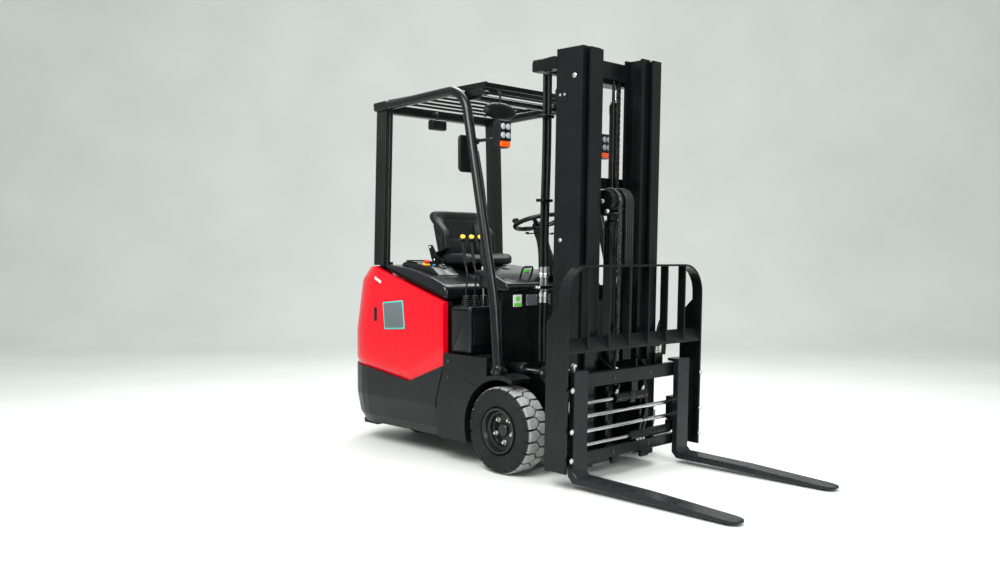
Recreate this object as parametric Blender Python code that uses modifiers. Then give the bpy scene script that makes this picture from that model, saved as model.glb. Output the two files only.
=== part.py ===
"""Three-wheel electric counterbalance forklift with a triple mast.

Lengths are in metres and +Z is up. The front of the truck faces -Y and its
left side is +X. Sizes below are written from the front axle, where y = 0; the
empty "truck" then shifts the whole machine so that the origin lies on the
floor under the middle of its bounding box. Everything on the mast is written
for an upright mast, and the empty "mast_frame" leans it forward about the
tilt pin by MAST_LEAN.
"""
import math

import bpy
import bmesh
from mathutils import Euler, Matrix, Vector

# Wheels
TYRE_RADIUS = 0.227
TYRE_WIDTH = 0.165
TYRE_FACE = 0.537
RIM_RADIUS = 0.122
REAR_RADIUS = 0.190
REAR_WIDTH = 0.104
REAR_RIM_RADIUS = 0.105
TWIN_GAP = 0.026
WHEELBASE = 1.200
TURRET_TOP = 0.452
STEER_ROOM = 0.016

# Body
BODY_HALF = 0.530
REAR_FACE = 1.450
CORNER_RADIUS = 0.310
GROUND_GAP = 0.125
SEAM = 0.0006
PANEL_THICK = 0.045
PANEL_END = 80
ARCH_GAP = 0.038
ARCH_LIP = 0.024
FENDER_FRONT = 0.090
FENDER_TOP = 0.600
FLOOR_TOP = 0.500
APRON_Y = 0.085
APRON_THICK = 0.016
APRON_HALF = 0.440
DASH_TOP = 0.985
BOX_HALF = 0.440
BOX_WALL = 0.030
BOX_FRONT = 0.470
WHEEL_Y = 0.215
WHEEL_Z = 1.330
WHEEL_RAKE = math.radians(16)
WHEEL_RING = 0.137
WHEEL_GRIP = 0.013
BOX_REAR = 0.958
CASTING_TOP = 1.020
BATTERY_GAP = 0.030
BATTERY_TOP = 0.800

# Deck over the battery, with the seat
DECK_HINGE_Y = 1.005
DECK_HINGE_Z = 1.090
DECK_FRONT = 0.445
DECK_HALF = 0.500
DECK_THICK = 0.075
SEAT_HALF = 0.205
SEAT_BASE = 1.078

# Overhead guard
LEG_TUBE = 0.027
GUARD_HALF = 0.465
GUARD_TOP = 2.045
REAR_CROSS_Y = 1.060
REAR_LEG_DEPTH = 0.092
REAR_LEG_WIDTH = 0.055
SLAT_COUNT = 9
SLAT_HEIGHT = 0.026

# Mast, upright
PIVOT_Y = -0.090
PIVOT_Z = 0.200
PIVOT_PIN = 0.022
MAST_LEAN = math.radians(1.3)
MAST_BOTTOM = 0.060
MAST_TOP = 2.195
CHANNEL_HALF = 0.320
CHANNEL_REAR = -0.175
CHANNEL_FRONT = -0.352
CHANNEL_FLANGE = 0.064
FLANGE_THICK = 0.014
WEB_THICK = 0.012
STAGE_GAP = 0.008
LIFT_BARREL_RADIUS = 0.028
LIFT_ROD_RADIUS = 0.018
BORE_GAP = 0.0006
SHEAVE_Y = -0.334
SHEAVE_Z = 1.425
SHEAVE_RADIUS = 0.060

# Carriage and forks, upright mast
FORK_FACE = -0.4966
FORK_LENGTH = 0.900
FORK_WIDTH = 0.103
FORK_THICK = 0.035
FORK_BOTTOM = 0.040
FORK_TOP = 0.585
RIGHT_FORK_OUTER = -0.500
LEFT_FORK_OUTER = 0.452
TIP_THICK = 0.010
BACKREST_HALF = 0.560
BACKREST_TOP = 1.100
BACKREST_BOTTOM = 0.095
UPRIGHT_THICK = 0.012
UPRIGHT_DEPTH = 0.137
BAR_DEPTH = 0.045
ROD_RADIUS = 0.011
POSITIONER_RADIUS = 0.024
POSITIONER_ROD = 0.010
POSITIONER_HIGH = 0.412
POSITIONER_LOW = 0.200

# Tilt cylinders
TILT_X = 0.340
TILT_EYE_Y = -0.160
TILT_Z = 0.532
TILT_REAR_Y = 0.420
TILT_RADIUS = 0.040
TILT_ROD_RADIUS = 0.017
TILT_EYE_RADIUS = 0.024
TILT_PIN_RADIUS = 0.010
TILT_PIN_GAP = 0.0008

GAP = 0.0003
ROUND = 32


for old in list(bpy.data.objects):
    bpy.data.objects.remove(old, do_unlink=True)

parts = bpy.data.collections.new("forklift_truck")
cutters = bpy.data.collections.new("cutters")
bpy.context.scene.collection.children.link(parts)
bpy.context.scene.collection.children.link(cutters)

lean = Matrix.Rotation(MAST_LEAN, 4, "X")
pivot = Vector((0, PIVOT_Y, PIVOT_Z))
fork_tip = lean @ (Vector((0, FORK_FACE - FORK_LENGTH, FORK_BOTTOM + TIP_THICK)) - pivot) + pivot
SHIFT_Y = -(REAR_FACE + fork_tip.y) / 2
tilt_eye = lean @ (Vector((0, TILT_EYE_Y, TILT_Z)) - pivot) + pivot


def empty(name, parent, location=(0, 0, 0), rotation=(0, 0, 0)):
    """A guide that carries other objects."""
    guide = bpy.data.objects.new(name, None)
    guide.parent = parent
    guide.location = location
    guide.rotation_euler = rotation
    cutters.objects.link(guide)
    return guide


truck = empty("truck", None, (0, SHIFT_Y, 0))
mast_frame = empty("mast_frame", truck, pivot - lean @ pivot, (MAST_LEAN, 0, 0))
place = {"frame": truck}


# ---------------------------------------------------------------- tools

def paint(name, colour, roughness, metallic=0.0):
    """A named finish."""
    finish = bpy.data.materials.new(name)
    finish.use_nodes = True
    shader = finish.node_tree.nodes["Principled BSDF"]
    shader.inputs["Base Color"].default_value = (*colour, 1)
    shader.inputs["Roughness"].default_value = roughness
    shader.inputs["Metallic"].default_value = metallic
    return finish


BLACK_PAINT = paint("black_paint", (0.022, 0.023, 0.024), 0.42)
CASTING_PAINT = paint("casting_paint", (0.035, 0.038, 0.040), 0.50)
RED_PAINT = paint("red_paint", (0.72, 0.006, 0.045), 0.32)
PLASTIC = paint("black_plastic", (0.018, 0.019, 0.020), 0.45)
VINYL = paint("seat_vinyl", (0.014, 0.014, 0.015), 0.50)
TYRE_RUBBER = paint("tyre_rubber", (0.030, 0.030, 0.031), 0.80)
RIM_PAINT = paint("rim_paint", (0.020, 0.020, 0.021), 0.45)
CHROME = paint("rod_chrome", (0.75, 0.75, 0.76), 0.15, 1.0)
FORK_STEEL = paint("fork_paint", (0.040, 0.046, 0.048), 0.38)
CHAIN_STEEL = paint("chain_steel", (0.060, 0.060, 0.062), 0.45, 0.8)
HOSE_RUBBER = paint("hose_rubber", (0.016, 0.017, 0.018), 0.50)
LAMP_GLASS = paint("lamp_lens", (0.80, 0.80, 0.78), 0.20)
BATTERY_CASE = paint("battery_case", (0.10, 0.11, 0.12), 0.60)


def from_bmesh(name, bm):
    """An object in the current frame, with its faces pointing out."""
    bmesh.ops.recalc_face_normals(bm, faces=bm.faces)
    mesh = bpy.data.meshes.new(name)
    bm.to_mesh(mesh)
    bm.free()
    obj = bpy.data.objects.new(name, mesh)
    cutters.objects.link(obj)
    obj.parent = place["frame"]
    return obj


def bevel(obj, width, segments=1, angle=30):
    """Round or chamfer the sharp edges."""
    mod = obj.modifiers.new("bevel", "BEVEL")
    mod.width = width
    mod.segments = segments
    mod.limit_method = "ANGLE"
    mod.angle_limit = math.radians(angle)
    mod.use_clamp_overlap = True
    return obj


def box(name, low, high, edge=0.0, segments=1):
    """A block from its low corner to its high corner."""
    bm = bmesh.new()
    bmesh.ops.create_cube(bm, size=1.0)
    low, high = Vector(low), Vector(high)
    bmesh.ops.scale(bm, vec=high - low, verts=bm.verts)
    bmesh.ops.translate(bm, vec=(low + high) / 2, verts=bm.verts)
    obj = from_bmesh(name, bm)
    if edge:
        bevel(obj, edge, segments)
    return obj


def rod(name, start, end, radius, sides=ROUND, end_radius=None):
    """A round bar, or a cone, from start to end."""
    start, end = Vector(start), Vector(end)
    bm = bmesh.new()
    bmesh.ops.create_cone(bm, cap_ends=True, segments=sides, radius1=radius,
                          radius2=radius if end_radius is None else end_radius,
                          depth=(end - start).length)
    turn = (end - start).to_track_quat("Z", "Y").to_matrix().to_4x4()
    bmesh.ops.transform(bm, matrix=Matrix.Translation((start + end) / 2) @ turn, verts=bm.verts)
    return from_bmesh(name, bm)


def curve_mesh(name, curve, matrix=None, merge=0.00001):
    """The closed mesh of a curve, with its caps welded on."""
    holder = bpy.data.objects.new(name + "_curve", curve)
    cutters.objects.link(holder)
    bpy.context.view_layer.update()
    graph = bpy.context.evaluated_depsgraph_get()
    mesh = bpy.data.meshes.new_from_object(holder.evaluated_get(graph))
    bm = bmesh.new()
    bm.from_mesh(mesh)
    bmesh.ops.remove_doubles(bm, verts=bm.verts, dist=merge)
    if matrix is not None:
        bmesh.ops.transform(bm, matrix=matrix, verts=bm.verts)
    bpy.data.objects.remove(holder, do_unlink=True)
    return from_bmesh(name, bm)


def tube(name, points, radius, detail=2):
    """A round tube with closed ends along a list of points."""
    curve = bpy.data.curves.new(name, "CURVE")
    curve.dimensions = "3D"
    curve.bevel_depth = radius
    curve.bevel_resolution = detail
    curve.use_fill_caps = True
    spline = curve.splines.new("POLY")
    spline.points.add(len(points) - 1)
    for point, place_ in zip(spline.points, points):
        point.co = (*place_, 1)
    return curve_mesh(name, curve)


def plate(name, outline, low, high, plane="YZ"):
    """A flat outline given thickness, from low to high across its plane.

    In plane YZ the outline is (y, z) and low and high are x; in XZ it is
    (x, z) and they are y; in XY it is (x, y) and they are z.
    """
    spots = {
        "YZ": lambda a, b, c: (c, a, b),
        "XZ": lambda a, b, c: (a, c, b),
        "XY": lambda a, b, c: (a, b, c),
    }
    return lofted(name, [[spots[plane](a, b, c) for a, b in outline] for c in (low, high)])


def lofted(name, rings):
    """A solid through rings of points that have the same count, capped flat."""
    bm = bmesh.new()
    rows = [[bm.verts.new(point) for point in ring] for ring in rings]
    for low, high in zip(rows, rows[1:]):
        for i in range(len(low)):
            k = (i + 1) % len(low)
            bm.faces.new((low[i], low[k], high[k], high[i]))
    bm.faces.new(rows[0])
    bm.faces.new(rows[-1])
    return from_bmesh(name, bm)


def arc(centre, radius, start, end, count):
    """Points on an arc, with angles in degrees."""
    angles = [math.radians(start + (end - start) * i / count) for i in range(count + 1)]
    return [(centre[0] + radius * math.cos(a), centre[1] + radius * math.sin(a)) for a in angles]


def rounded(points, radii, count=6):
    """A 3D line whose inner corners are replaced by arcs of the given radii."""
    points = [Vector(p) for p in points]
    line = [points[0]]
    for before, corner, after, radius in zip(points, points[1:], points[2:], radii):
        to_a = (before - corner).normalized()
        to_b = (after - corner).normalized()
        half = to_a.angle(to_b) / 2
        reach = radius / math.tan(half)
        centre = corner + (to_a + to_b).normalized() * radius / math.sin(half)
        start = corner + to_a * reach - centre
        end = corner + to_b * reach - centre
        for i in range(count + 1):
            line.append(centre + start.slerp(end, i / count).normalized() * radius)
    line.append(points[-1])
    return line


def turned(name, profile, centre, side=1, steps=48):
    """A piece turned about the line along X through centre. The profile is
    (radius, x) pairs; it's closed, or it starts and ends on the line. On
    side -1 its x is reversed."""
    solid = profile[0][0] == 0
    bm = bmesh.new()
    rows = []
    for radius, x in profile:
        if radius == 0:
            rows.append([bm.verts.new((x * side, 0, 0))] * steps)
            continue
        angles = [2 * math.pi * i / steps for i in range(steps)]
        rows.append([bm.verts.new((x * side, radius * math.cos(a), radius * math.sin(a))) for a in angles])
    for one, two in zip(rows, rows[1:] if solid else rows[1:] + rows[:1]):
        for i in range(steps):
            k = (i + 1) % steps
            corners = list(dict.fromkeys((one[i], one[k], two[k], two[i])))
            bm.faces.new(corners)
    bmesh.ops.translate(bm, vec=centre, verts=bm.verts)
    return from_bmesh(name, bm)


def unite(target, *others):
    """Join solids that overlap into one."""
    for other in others:
        mod = target.modifiers.new("join", "BOOLEAN")
        mod.operation = "UNION"
        mod.solver = "EXACT"
        mod.object = other
    return target


def cut(target, *others):
    """Cut solids away."""
    for other in others:
        mod = target.modifiers.new("cut", "BOOLEAN")
        mod.operation = "DIFFERENCE"
        mod.solver = "EXACT"
        mod.object = other
    return target


def keep(target, other):
    """Keep what lies inside another solid."""
    mod = target.modifiers.new("keep", "BOOLEAN")
    mod.operation = "INTERSECT"
    mod.solver = "EXACT"
    mod.object = other
    return target


def part(obj, name, finish, origin=None, smooth=False):
    """Make an object one of the truck's named parts."""
    obj.name = name
    obj.data.materials.clear()
    obj.data.materials.append(finish)
    cutters.objects.unlink(obj)
    parts.objects.link(obj)
    if origin is not None:
        obj.data.transform(Matrix.Translation(-Vector(origin)))
        obj.location = origin
    if smooth:
        obj.data.shade_smooth()
    return obj


# ---------------------------------------------------------------- wheels

def wheel_profile(radius, rim, width):
    """Half-round shouldered tyre section as (radius, x), outer side first."""
    half = width / 2
    return [
        (rim, -half + 0.012), (rim + 0.012, -half + 0.004), (radius - 0.045, -half),
        (radius - 0.016, -half + 0.006), (radius, -half + 0.024),
        (radius, half - 0.024), (radius - 0.016, half - 0.006),
        (radius - 0.045, half), (rim + 0.012, half - 0.004), (rim, half - 0.012),
    ]


def rim_profile(rim, width, hub, dish):
    """Closed dished rim section: outer face sunk by dish, hub in the middle."""
    half = width / 2 - 0.004
    out = rim - GAP
    return [
        (0, -half + dish), (hub, -half + dish), (out - 0.020, -half + dish * 0.8),
        (out - 0.012, -half), (out, -half), (out, half), (out - 0.014, half),
        (out - 0.022, 0.010), (hub + 0.012, 0.010), (hub, half - 0.010), (0, half - 0.010),
    ]


def front_wheel(side, name):
    """Front tyre and rim, free to turn about the axle."""
    middle = side * (TYRE_FACE - TYRE_WIDTH / 2)
    centre = (middle, 0, TYRE_RADIUS)
    tyre = turned(name + "_tyre", wheel_profile(TYRE_RADIUS, RIM_RADIUS, TYRE_WIDTH), centre)
    part(tyre, name + "_tyre", TYRE_RUBBER, centre)
    rim = turned(name + "_rim", rim_profile(RIM_RADIUS, TYRE_WIDTH, 0.058, 0.040), centre, -side)
    part(rim, name + "_rim", RIM_PAINT, centre)


def drive_axle():
    """Axle housing with its two gear hubs, and the mast's pivot pins."""
    reach = TYRE_FACE - TYRE_WIDTH - 0.010
    housing = rod("housing", (-reach, 0, TYRE_RADIUS), (reach, 0, TYRE_RADIUS), 0.050)
    for side in (-1, 1):
        hub = rod("hub", (side * 0.308, 0, TYRE_RADIUS), (side * (reach - 0.002), 0, TYRE_RADIUS), 0.080)
        low, high = sorted((side * 0.228, side * 0.258))
        arm = plate("arm", [(0.0, TYRE_RADIUS - 0.040), (0.0, TYRE_RADIUS + 0.040), (PIVOT_Y + 0.010, PIVOT_Z + 0.030),
                            (PIVOT_Y - 0.020, PIVOT_Z + 0.022), (PIVOT_Y - 0.030, PIVOT_Z),
                            (PIVOT_Y - 0.020, PIVOT_Z - 0.022), (PIVOT_Y + 0.010, PIVOT_Z - 0.030)], low, high)
        pin = rod("pin", (side * 0.240, PIVOT_Y, PIVOT_Z), (side * 0.304, PIVOT_Y, PIVOT_Z), PIVOT_PIN, 24)
        low, high = sorted((side * 0.170, side * 0.225))
        pad = box("pad", (low, 0.0, TYRE_RADIUS - 0.045), (high, APRON_Y - GAP, TYRE_RADIUS + 0.045), 0.004)
        stub = rod("stub", (side * (reach - 0.01), 0, TYRE_RADIUS), (side * (TYRE_FACE - TYRE_WIDTH + 0.014 - GAP), 0, TYRE_RADIUS), 0.030, 24)
        unite(housing, hub, arm, pin, pad, stub)
    part(housing, "drive_axle", CASTING_PAINT)


def rear_wheels():
    """Steered turret under the tail and its pair of wheels."""
    inner = TWIN_GAP / 2
    turret = rod("turret", (0, WHEELBASE, 0.400), (0, WHEELBASE, TURRET_TOP), 0.120, 40)
    spine = box("spine", (-inner + 0.005, WHEELBASE - 0.050, REAR_RADIUS - 0.045),
                (inner - 0.005, WHEELBASE + 0.050, 0.410))
    unite(turret, spine)
    cut(turret, rod("eye", (-0.05, WHEELBASE, REAR_RADIUS), (0.05, WHEELBASE, REAR_RADIUS), 0.022 + BORE_GAP, 24))
    part(turret, "rear_steer_turret", CASTING_PAINT, (0, WHEELBASE, 0.3))
    reach = inner + REAR_WIDTH
    axle = rod("axle", (-reach + 0.02, WHEELBASE, REAR_RADIUS), (reach - 0.02, WHEELBASE, REAR_RADIUS), 0.022, 24)
    discs = []
    for side, name in ((-1, "rear_right"), (1, "rear_left")):
        centre = (side * (inner + REAR_WIDTH / 2), WHEELBASE, REAR_RADIUS)
        tyre = turned(name + "_tyre", wheel_profile(REAR_RADIUS, REAR_RIM_RADIUS, REAR_WIDTH), centre, 1, 40)
        part(tyre, name + "_tyre", TYRE_RUBBER, (0, WHEELBASE, REAR_RADIUS))
        rim = REAR_RIM_RADIUS - GAP
        discs.append(turned("disc", [(0, -0.036), (0.050, -0.036), (0.056, -0.020), (rim - 0.016, -0.020),
                                     (rim - 0.010, -0.046), (rim, -0.046), (rim, 0.040), (0.040, 0.020),
                                     (0, 0.020)], centre, -side, 40))
    unite(axle, *discs)
    part(axle, "rear_wheel_hub", RIM_PAINT, (0, WHEELBASE, REAR_RADIUS))


# ---------------------------------------------------------------- body

PANEL_SIDE = [(1.70, 1.074), (1.091, 1.074), (0.829, 0.995), (0.440, 0.880),
              (0.440, 0.530), (0.744, 0.417), (1.151, 0.469), (1.70, 0.490)]


FENDER_SIDE = [(FENDER_FRONT, 0.132), (0.486, 0.132), (0.505, 0.240), (0.500, 0.340), (0.448, 0.500),
               (0.448, FENDER_TOP), (FENDER_FRONT, FENDER_TOP)]
# How far the tail's rear face leans forward, by height
TAIL_LEAN = ((0.100, 0.0), (0.685, 0.0), (0.991, 0.063), (1.060, 0.135), (1.300, 0.135))


def tail_lean(z):
    """How far forward the rear face stands at a height."""
    for (z0, a), (z1, b) in zip(TAIL_LEAN, TAIL_LEAN[1:]):
        if z <= z1:
            return a + (b - a) * (z - z0) / (z1 - z0)
    return TAIL_LEAN[-1][1]


def grown(outline, by):
    """A closed outline moved outward by a distance."""
    count = len(outline)
    area = sum(outline[i][0] * outline[(i + 1) % count][1] - outline[(i + 1) % count][0] * outline[i][1]
               for i in range(count))
    turn = 1 if area > 0 else -1
    result = []
    for i in range(count):
        before, here, after = (Vector(outline[j % count]) for j in (i - 1, i, i + 1))
        along_a = (here - before).normalized()
        along_b = (after - here).normalized()
        out_a = Vector((along_a.y, -along_a.x)) * turn
        out_b = Vector((along_b.y, -along_b.x)) * turn
        both = (out_a + out_b).normalized()
        result.append(tuple(here + both * by / both.dot(out_a)))
    return result


def plan(half, front, rear, radius, count=8):
    """Plan outline of a body with rounded rear corners."""
    right = arc((-half + radius, rear - radius), radius, 90, 180, count)
    left = arc((half - radius, rear - radius), radius, 0, 90, count)
    return [(half, front), *left, *right, (-half, front)]


def ring_plan(side, outer, inner, front, end, z):
    """Ring at height z of a wall that follows one side of the body and its
    rear corner, ending at an angle on that corner."""
    half, rear, radius = BODY_HALF, REAR_FACE - tail_lean(z), CORNER_RADIUS
    centre = (half - radius, rear - radius)
    out = arc(centre, radius - outer, 0, end, 8)
    back = arc(centre, radius - inner, end, 0, 8)
    points = [(half - outer, front), *out, *back, (half - inner, front)]
    return [(side * x, y, z) for x, y in points]


def side_wall(name, side, outer, inner, front, end):
    """That wall, lofted through the heights where the tail's lean changes."""
    heights = (0.3, 0.685, 0.991, 1.060, 1.2)
    return lofted(name, [ring_plan(side, outer, inner, front, end, z) for z in heights])


def counterweight():
    """Cast weight: a rounded tail with a skirt along each side."""
    rings = []
    for z, inset in ((GROUND_GAP, 0.055), (0.180, 0.020), (0.300, 0.0), (0.685, 0.0), (CASTING_TOP - 0.029, 0.0),
                     (CASTING_TOP - 0.008, 0.010), (CASTING_TOP, 0.030)):
        outline = plan(BODY_HALF - inset, 0.420, REAR_FACE - tail_lean(z) - inset, CORNER_RADIUS - inset)
        rings.append([(x, y, z) for x, y in outline])
    tail = lofted("tail", rings)
    room = box("battery_room", (-BOX_HALF - 0.003, 0.3, 0.0), (BOX_HALF + 0.003, BOX_REAR + 0.003, 1.5))
    deck_room = plate("deck_room", [(0.3, 0.835), (0.440, 0.876), (0.829, 0.992), (0.985, 1.036), (0.985, 1.5),
                                    (0.3, 1.5)], -0.6, 0.6)
    reach = math.hypot(REAR_RADIUS, REAR_WIDTH + TWIN_GAP / 2) + STEER_ROOM
    room_top = TURRET_TOP + GAP
    wheel_room = rod("wheel_room", (0, WHEELBASE, -0.1), (0, WHEELBASE, 0.330), reach, 40)
    upper_room = rod("upper_room", (0, WHEELBASE, 0.2), (0, WHEELBASE, room_top), 0.195, 40)
    slot = box("slot", (-0.170, WHEELBASE, -0.1), (0.170, REAR_FACE + 0.1, 0.320))
    cut(tail, room, deck_room, wheel_room, upper_room, slot)
    front_room = [(-0.5, 0.05), (0.480, 0.05), *FENDER_SIDE[1:6], (FENDER_SIDE[5][0], 1.5), (-0.5, 1.5)]
    cut(tail, plate("front_room", grown(front_room, SEAM), -0.7, 0.7))
    for side in (-1, 1):
        wall = side_wall("wall_room", side, -0.05, PANEL_THICK + SEAM, 0.2, PANEL_END + 0.15)
        keep(wall, plate("panel_room", grown(PANEL_SIDE, SEAM), -0.7, 0.7))
        cut(tail, wall)
    part(tail, "counterweight", CASTING_PAINT)


def side_panel(side, name):
    """Red cover of one side, wrapped round the rear corner."""
    wall = side_wall(name, side, 0.0, PANEL_THICK, 0.300, PANEL_END)
    keep(wall, plate("panel_shape", PANEL_SIDE, -0.7, 0.7))
    bevel(wall, 0.012, 2, 35)
    part(wall, name, RED_PAINT)


def arch(radius, low, high):
    """A round clearing about the front axle."""
    return rod("arch", (low, 0, TYRE_RADIUS), (high, 0, TYRE_RADIUS), radius, 48)


def chassis():
    """Frame: fenders over the front wheels, apron, floor and battery box."""
    arch_radius = TYRE_RADIUS + ARCH_GAP
    floor = box("floor", (-0.40, APRON_Y + 0.004, FLOOR_TOP - 0.020), (0.40, BOX_FRONT + 0.010, FLOOR_TOP))
    wide = APRON_HALF - 0.020
    apron = plate("apron", [(-0.340, 0.300), (0.340, 0.300), (0.340, 0.506), (wide, 0.506), (wide, DASH_TOP - 0.045),
                            (-wide, DASH_TOP - 0.045), (-wide, 0.506), (-0.340, 0.506)],
                  APRON_Y, APRON_Y + APRON_THICK, "XZ")
    under = box("under", (-0.34, APRON_Y, 0.135), (0.34, APRON_Y + 0.035, 0.32))
    keel = box("keel", (-0.34, APRON_Y, 0.135), (0.34, BOX_REAR, 0.160))
    pieces = [apron, under, keel]
    for side in (-1, 1):
        low, high = sorted((side * 0.386, side * (BODY_HALF - 0.004)))
        block = plate("fender", FENDER_SIDE, low, high)
        lip = plate("lip", [*arc((0, TYRE_RADIUS), arch_radius, 70, 110, 8),
                            *arc((0, TYRE_RADIUS), arch_radius + ARCH_LIP, 110, 70, 8)], low, high)
        cut(block, arch(arch_radius, low - 0.02, high + 0.02))
        wall_low, wall_high = sorted((side * (BODY_HALF - PANEL_THICK - SEAM), side * 0.7))
        cut(block, plate("panel_room", grown(PANEL_SIDE, SEAM), wall_low, wall_high))
        pieces += [block, lip]
        wall_low, wall_high = sorted((side * (BOX_HALF - BOX_WALL), side * BOX_HALF))
        pieces.append(box("wall", (wall_low, BOX_FRONT - 0.02, 0.135), (wall_high, BOX_REAR, 0.840)))
    pieces.append(box("box_floor", (-BOX_HALF + 0.01, BOX_FRONT - 0.02, 0.135), (BOX_HALF - 0.01, BOX_REAR, 0.160)))
    pieces.append(box("box_front", (-BOX_HALF + 0.01, BOX_FRONT - 0.02, 0.140), (BOX_HALF - 0.01, BOX_FRONT, 0.860)))
    pieces.append(box("box_rear", (-BOX_HALF + 0.01, BOX_REAR - 0.02, 0.140), (BOX_HALF - 0.01, BOX_REAR, 0.840)))
    unite(floor, *pieces)
    for side in (-1, 1):
        start, end = (side * TILT_X, -0.05, tilt_eye.z), (side * TILT_X, BOX_FRONT - 0.025, tilt_eye.z)
        cut(floor, rod("tilt_room", start, end, TILT_RADIUS + 0.010))
    part(floor, "chassis", BLACK_PAINT)


def battery():
    """Traction battery, one plain block."""
    inner = BOX_HALF - BOX_WALL - BATTERY_GAP
    block = box("battery", (-inner, BOX_FRONT + BATTERY_GAP, 0.160 + GAP),
                (inner, BOX_REAR - 0.02 - BATTERY_GAP, BATTERY_TOP), 0.006)
    part(block, "battery", BATTERY_CASE)


def dashboard():
    """Sloping dash over the apron, with the side cowls of the footwell."""
    top = plate("dash", [(APRON_Y - 0.006, DASH_TOP), (0.20, 1.035), (0.33, 1.060), (0.35, 1.045), (0.30, 0.960),
                         (0.16, 0.945), (APRON_Y - 0.006, 0.940 + GAP)], -0.385, 0.385)
    bevel(top, 0.008, 2, 25)
    part(top, "dashboard", PLASTIC)


def right_cowl():
    """Box beside the footwell that carries the levers."""
    block = box("cowl", (-0.500, 0.250, FENDER_TOP + GAP), (-0.275, 0.412, 0.860), 0.022, 3)
    part(block, "lever_cowl", PLASTIC)
    base = box("bellows", (-0.470, 0.290, 0.860 + GAP), (-0.300, 0.388, 0.895), 0.010)
    for i in range(3):
        x = -0.435 + 0.065 * i
        foot = (x, 0.350, 0.880)
        head = (x + 0.010, 0.392, 1.236)
        stick = rod("stick", foot, head, 0.0055, 12)
        knob = rod("knob", (x + 0.009, 0.389, 1.222), (x + 0.011, 0.394, 1.262), 0.0135, 16)
        unite(base, stick, knob)
    part(base, "hydraulic_levers", PLASTIC)


def deck():
    """Hinged battery deck with seat and console."""
    hinge = (0, DECK_HINGE_Y, DECK_HINGE_Z)
    rear = DECK_HINGE_Y - 0.008
    shape = [(DECK_FRONT, 0.886), (DECK_FRONT, 0.945), (DECK_FRONT + 0.020, 0.972), (0.60, 1.020),
             (0.80, 1.066), (rear, DECK_HINGE_Z - 0.004), (rear, 1.052), (0.829, 1.001)]
    slab = plate("slab", shape, -DECK_HALF, DECK_HALF)
    bevel(slab, 0.014, 2, 28)
    base = box("seat_rail", (-0.18, 0.640, 1.0685), (0.18, 0.880, SEAT_BASE))
    plinth = plate("plinth", [(0.63, 0.995), (0.90, 1.050), (0.90, 1.071), (0.65, 1.071)], -0.17, 0.17)
    unite(slab, plinth, base)
    part(slab, "battery_deck", PLASTIC, hinge)
    cushion = box("cushion", (-SEAT_HALF, 0.600, SEAT_BASE + GAP), (SEAT_HALF, 0.862, 1.152), 0.030, 3)
    part(cushion, "seat_cushion", VINYL, hinge)
    back = plate("back", [(0.866, 1.092), (0.950, 1.092), (0.988, 1.395), (0.940, 1.415), (0.880, 1.395)],
                 -SEAT_HALF, SEAT_HALF)
    bevel(back, 0.030, 3, 40)
    for side in (-1, 1):
        low, high = sorted((side * 0.135, side * (SEAT_HALF - 0.004)))
        wing = plate("wing", [(0.905, 1.156), (0.745, 1.160), (0.752, 1.245), (0.825, 1.345), (0.920, 1.370)], low, high)
        unite(back, wing)
    part(back, "seat_back", VINYL, hinge)
    console = plate("console", [(0.590, 0.960), (0.590, 1.020), (0.660, 1.072), (0.900, 1.104), (0.935, 1.092),
                                (0.935, 1.060)], -0.425, -0.262)
    bevel(console, 0.010, 2, 28)
    cut(console, plate("deck_room", grown(shape, 0.0005), -0.6, 0.6))
    part(console, "side_console", PLASTIC, hinge)


def steering():
    """Column on the dash and the hand wheel."""
    hub = Vector((0, WHEEL_Y, WHEEL_Z))
    axis = Vector((0, math.sin(WHEEL_RAKE), math.cos(WHEEL_RAKE)))
    foot = hub - axis * 0.330
    column = rod("column", foot, hub - axis * 0.045, 0.060, 24, 0.036)
    cut(column, plate("dash_room", [(0.0, 0.9), (APRON_Y - 0.006, DASH_TOP + 0.0006), (0.20, 1.0356), (0.33, 1.0606),
                                    (0.5, 1.05), (0.5, 0.9)], -0.3, 0.3))
    part(column, "steering_column", PLASTIC)
    bm = bmesh.new()
    ring_count, side_count, ring_radius, grip = 32, 8, WHEEL_RING, WHEEL_GRIP
    rings = []
    for i in range(ring_count):
        a = 2 * math.pi * i / ring_count
        rings.append([bm.verts.new(((ring_radius + grip * math.cos(b)) * math.cos(a),
                                    (ring_radius + grip * math.cos(b)) * math.sin(a), grip * math.sin(b)))
                      for b in (2 * math.pi * j / side_count for j in range(side_count))])
    for i in range(ring_count):
        for j in range(side_count):
            k, m = (i + 1) % ring_count, (j + 1) % side_count
            bm.faces.new((rings[i][j], rings[k][j], rings[k][m], rings[i][m]))
    wheel = from_bmesh("hand_wheel", bm)
    boss = rod("boss", (0, 0, -0.0445), (0, 0, 0.006), 0.032, 24)
    spokes = [rod("spoke", (0, 0, -0.012), (WHEEL_RING * math.cos(a), WHEEL_RING * math.sin(a), -0.002), 0.010, 12)
              for a in (math.radians(d) for d in (90, 210, 330))]
    turn = axis.to_track_quat("Z", "Y").to_matrix().to_4x4()
    for obj in (wheel, boss, *spokes):
        obj.data.transform(Matrix.Translation(hub) @ turn)
    unite(wheel, boss, *spokes)
    part(wheel, "steering_wheel", PLASTIC, hub)


# ---------------------------------------------------------------- overhead guard

def guard_tube(side, radius, name="side_tube"):
    """One side tube of the guard, from the rear cross tube to the front foot."""
    line = rounded([(side * GUARD_HALF, 1.110, GUARD_TOP - 0.020), (side * GUARD_HALF, 0.330, GUARD_TOP + 0.002),
                    (side * 0.498, 0.062, 0.900), (side * 0.500, 0.028, 0.530)], (0.160, 0.9))
    return tube(name, line, radius, 3)


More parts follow.
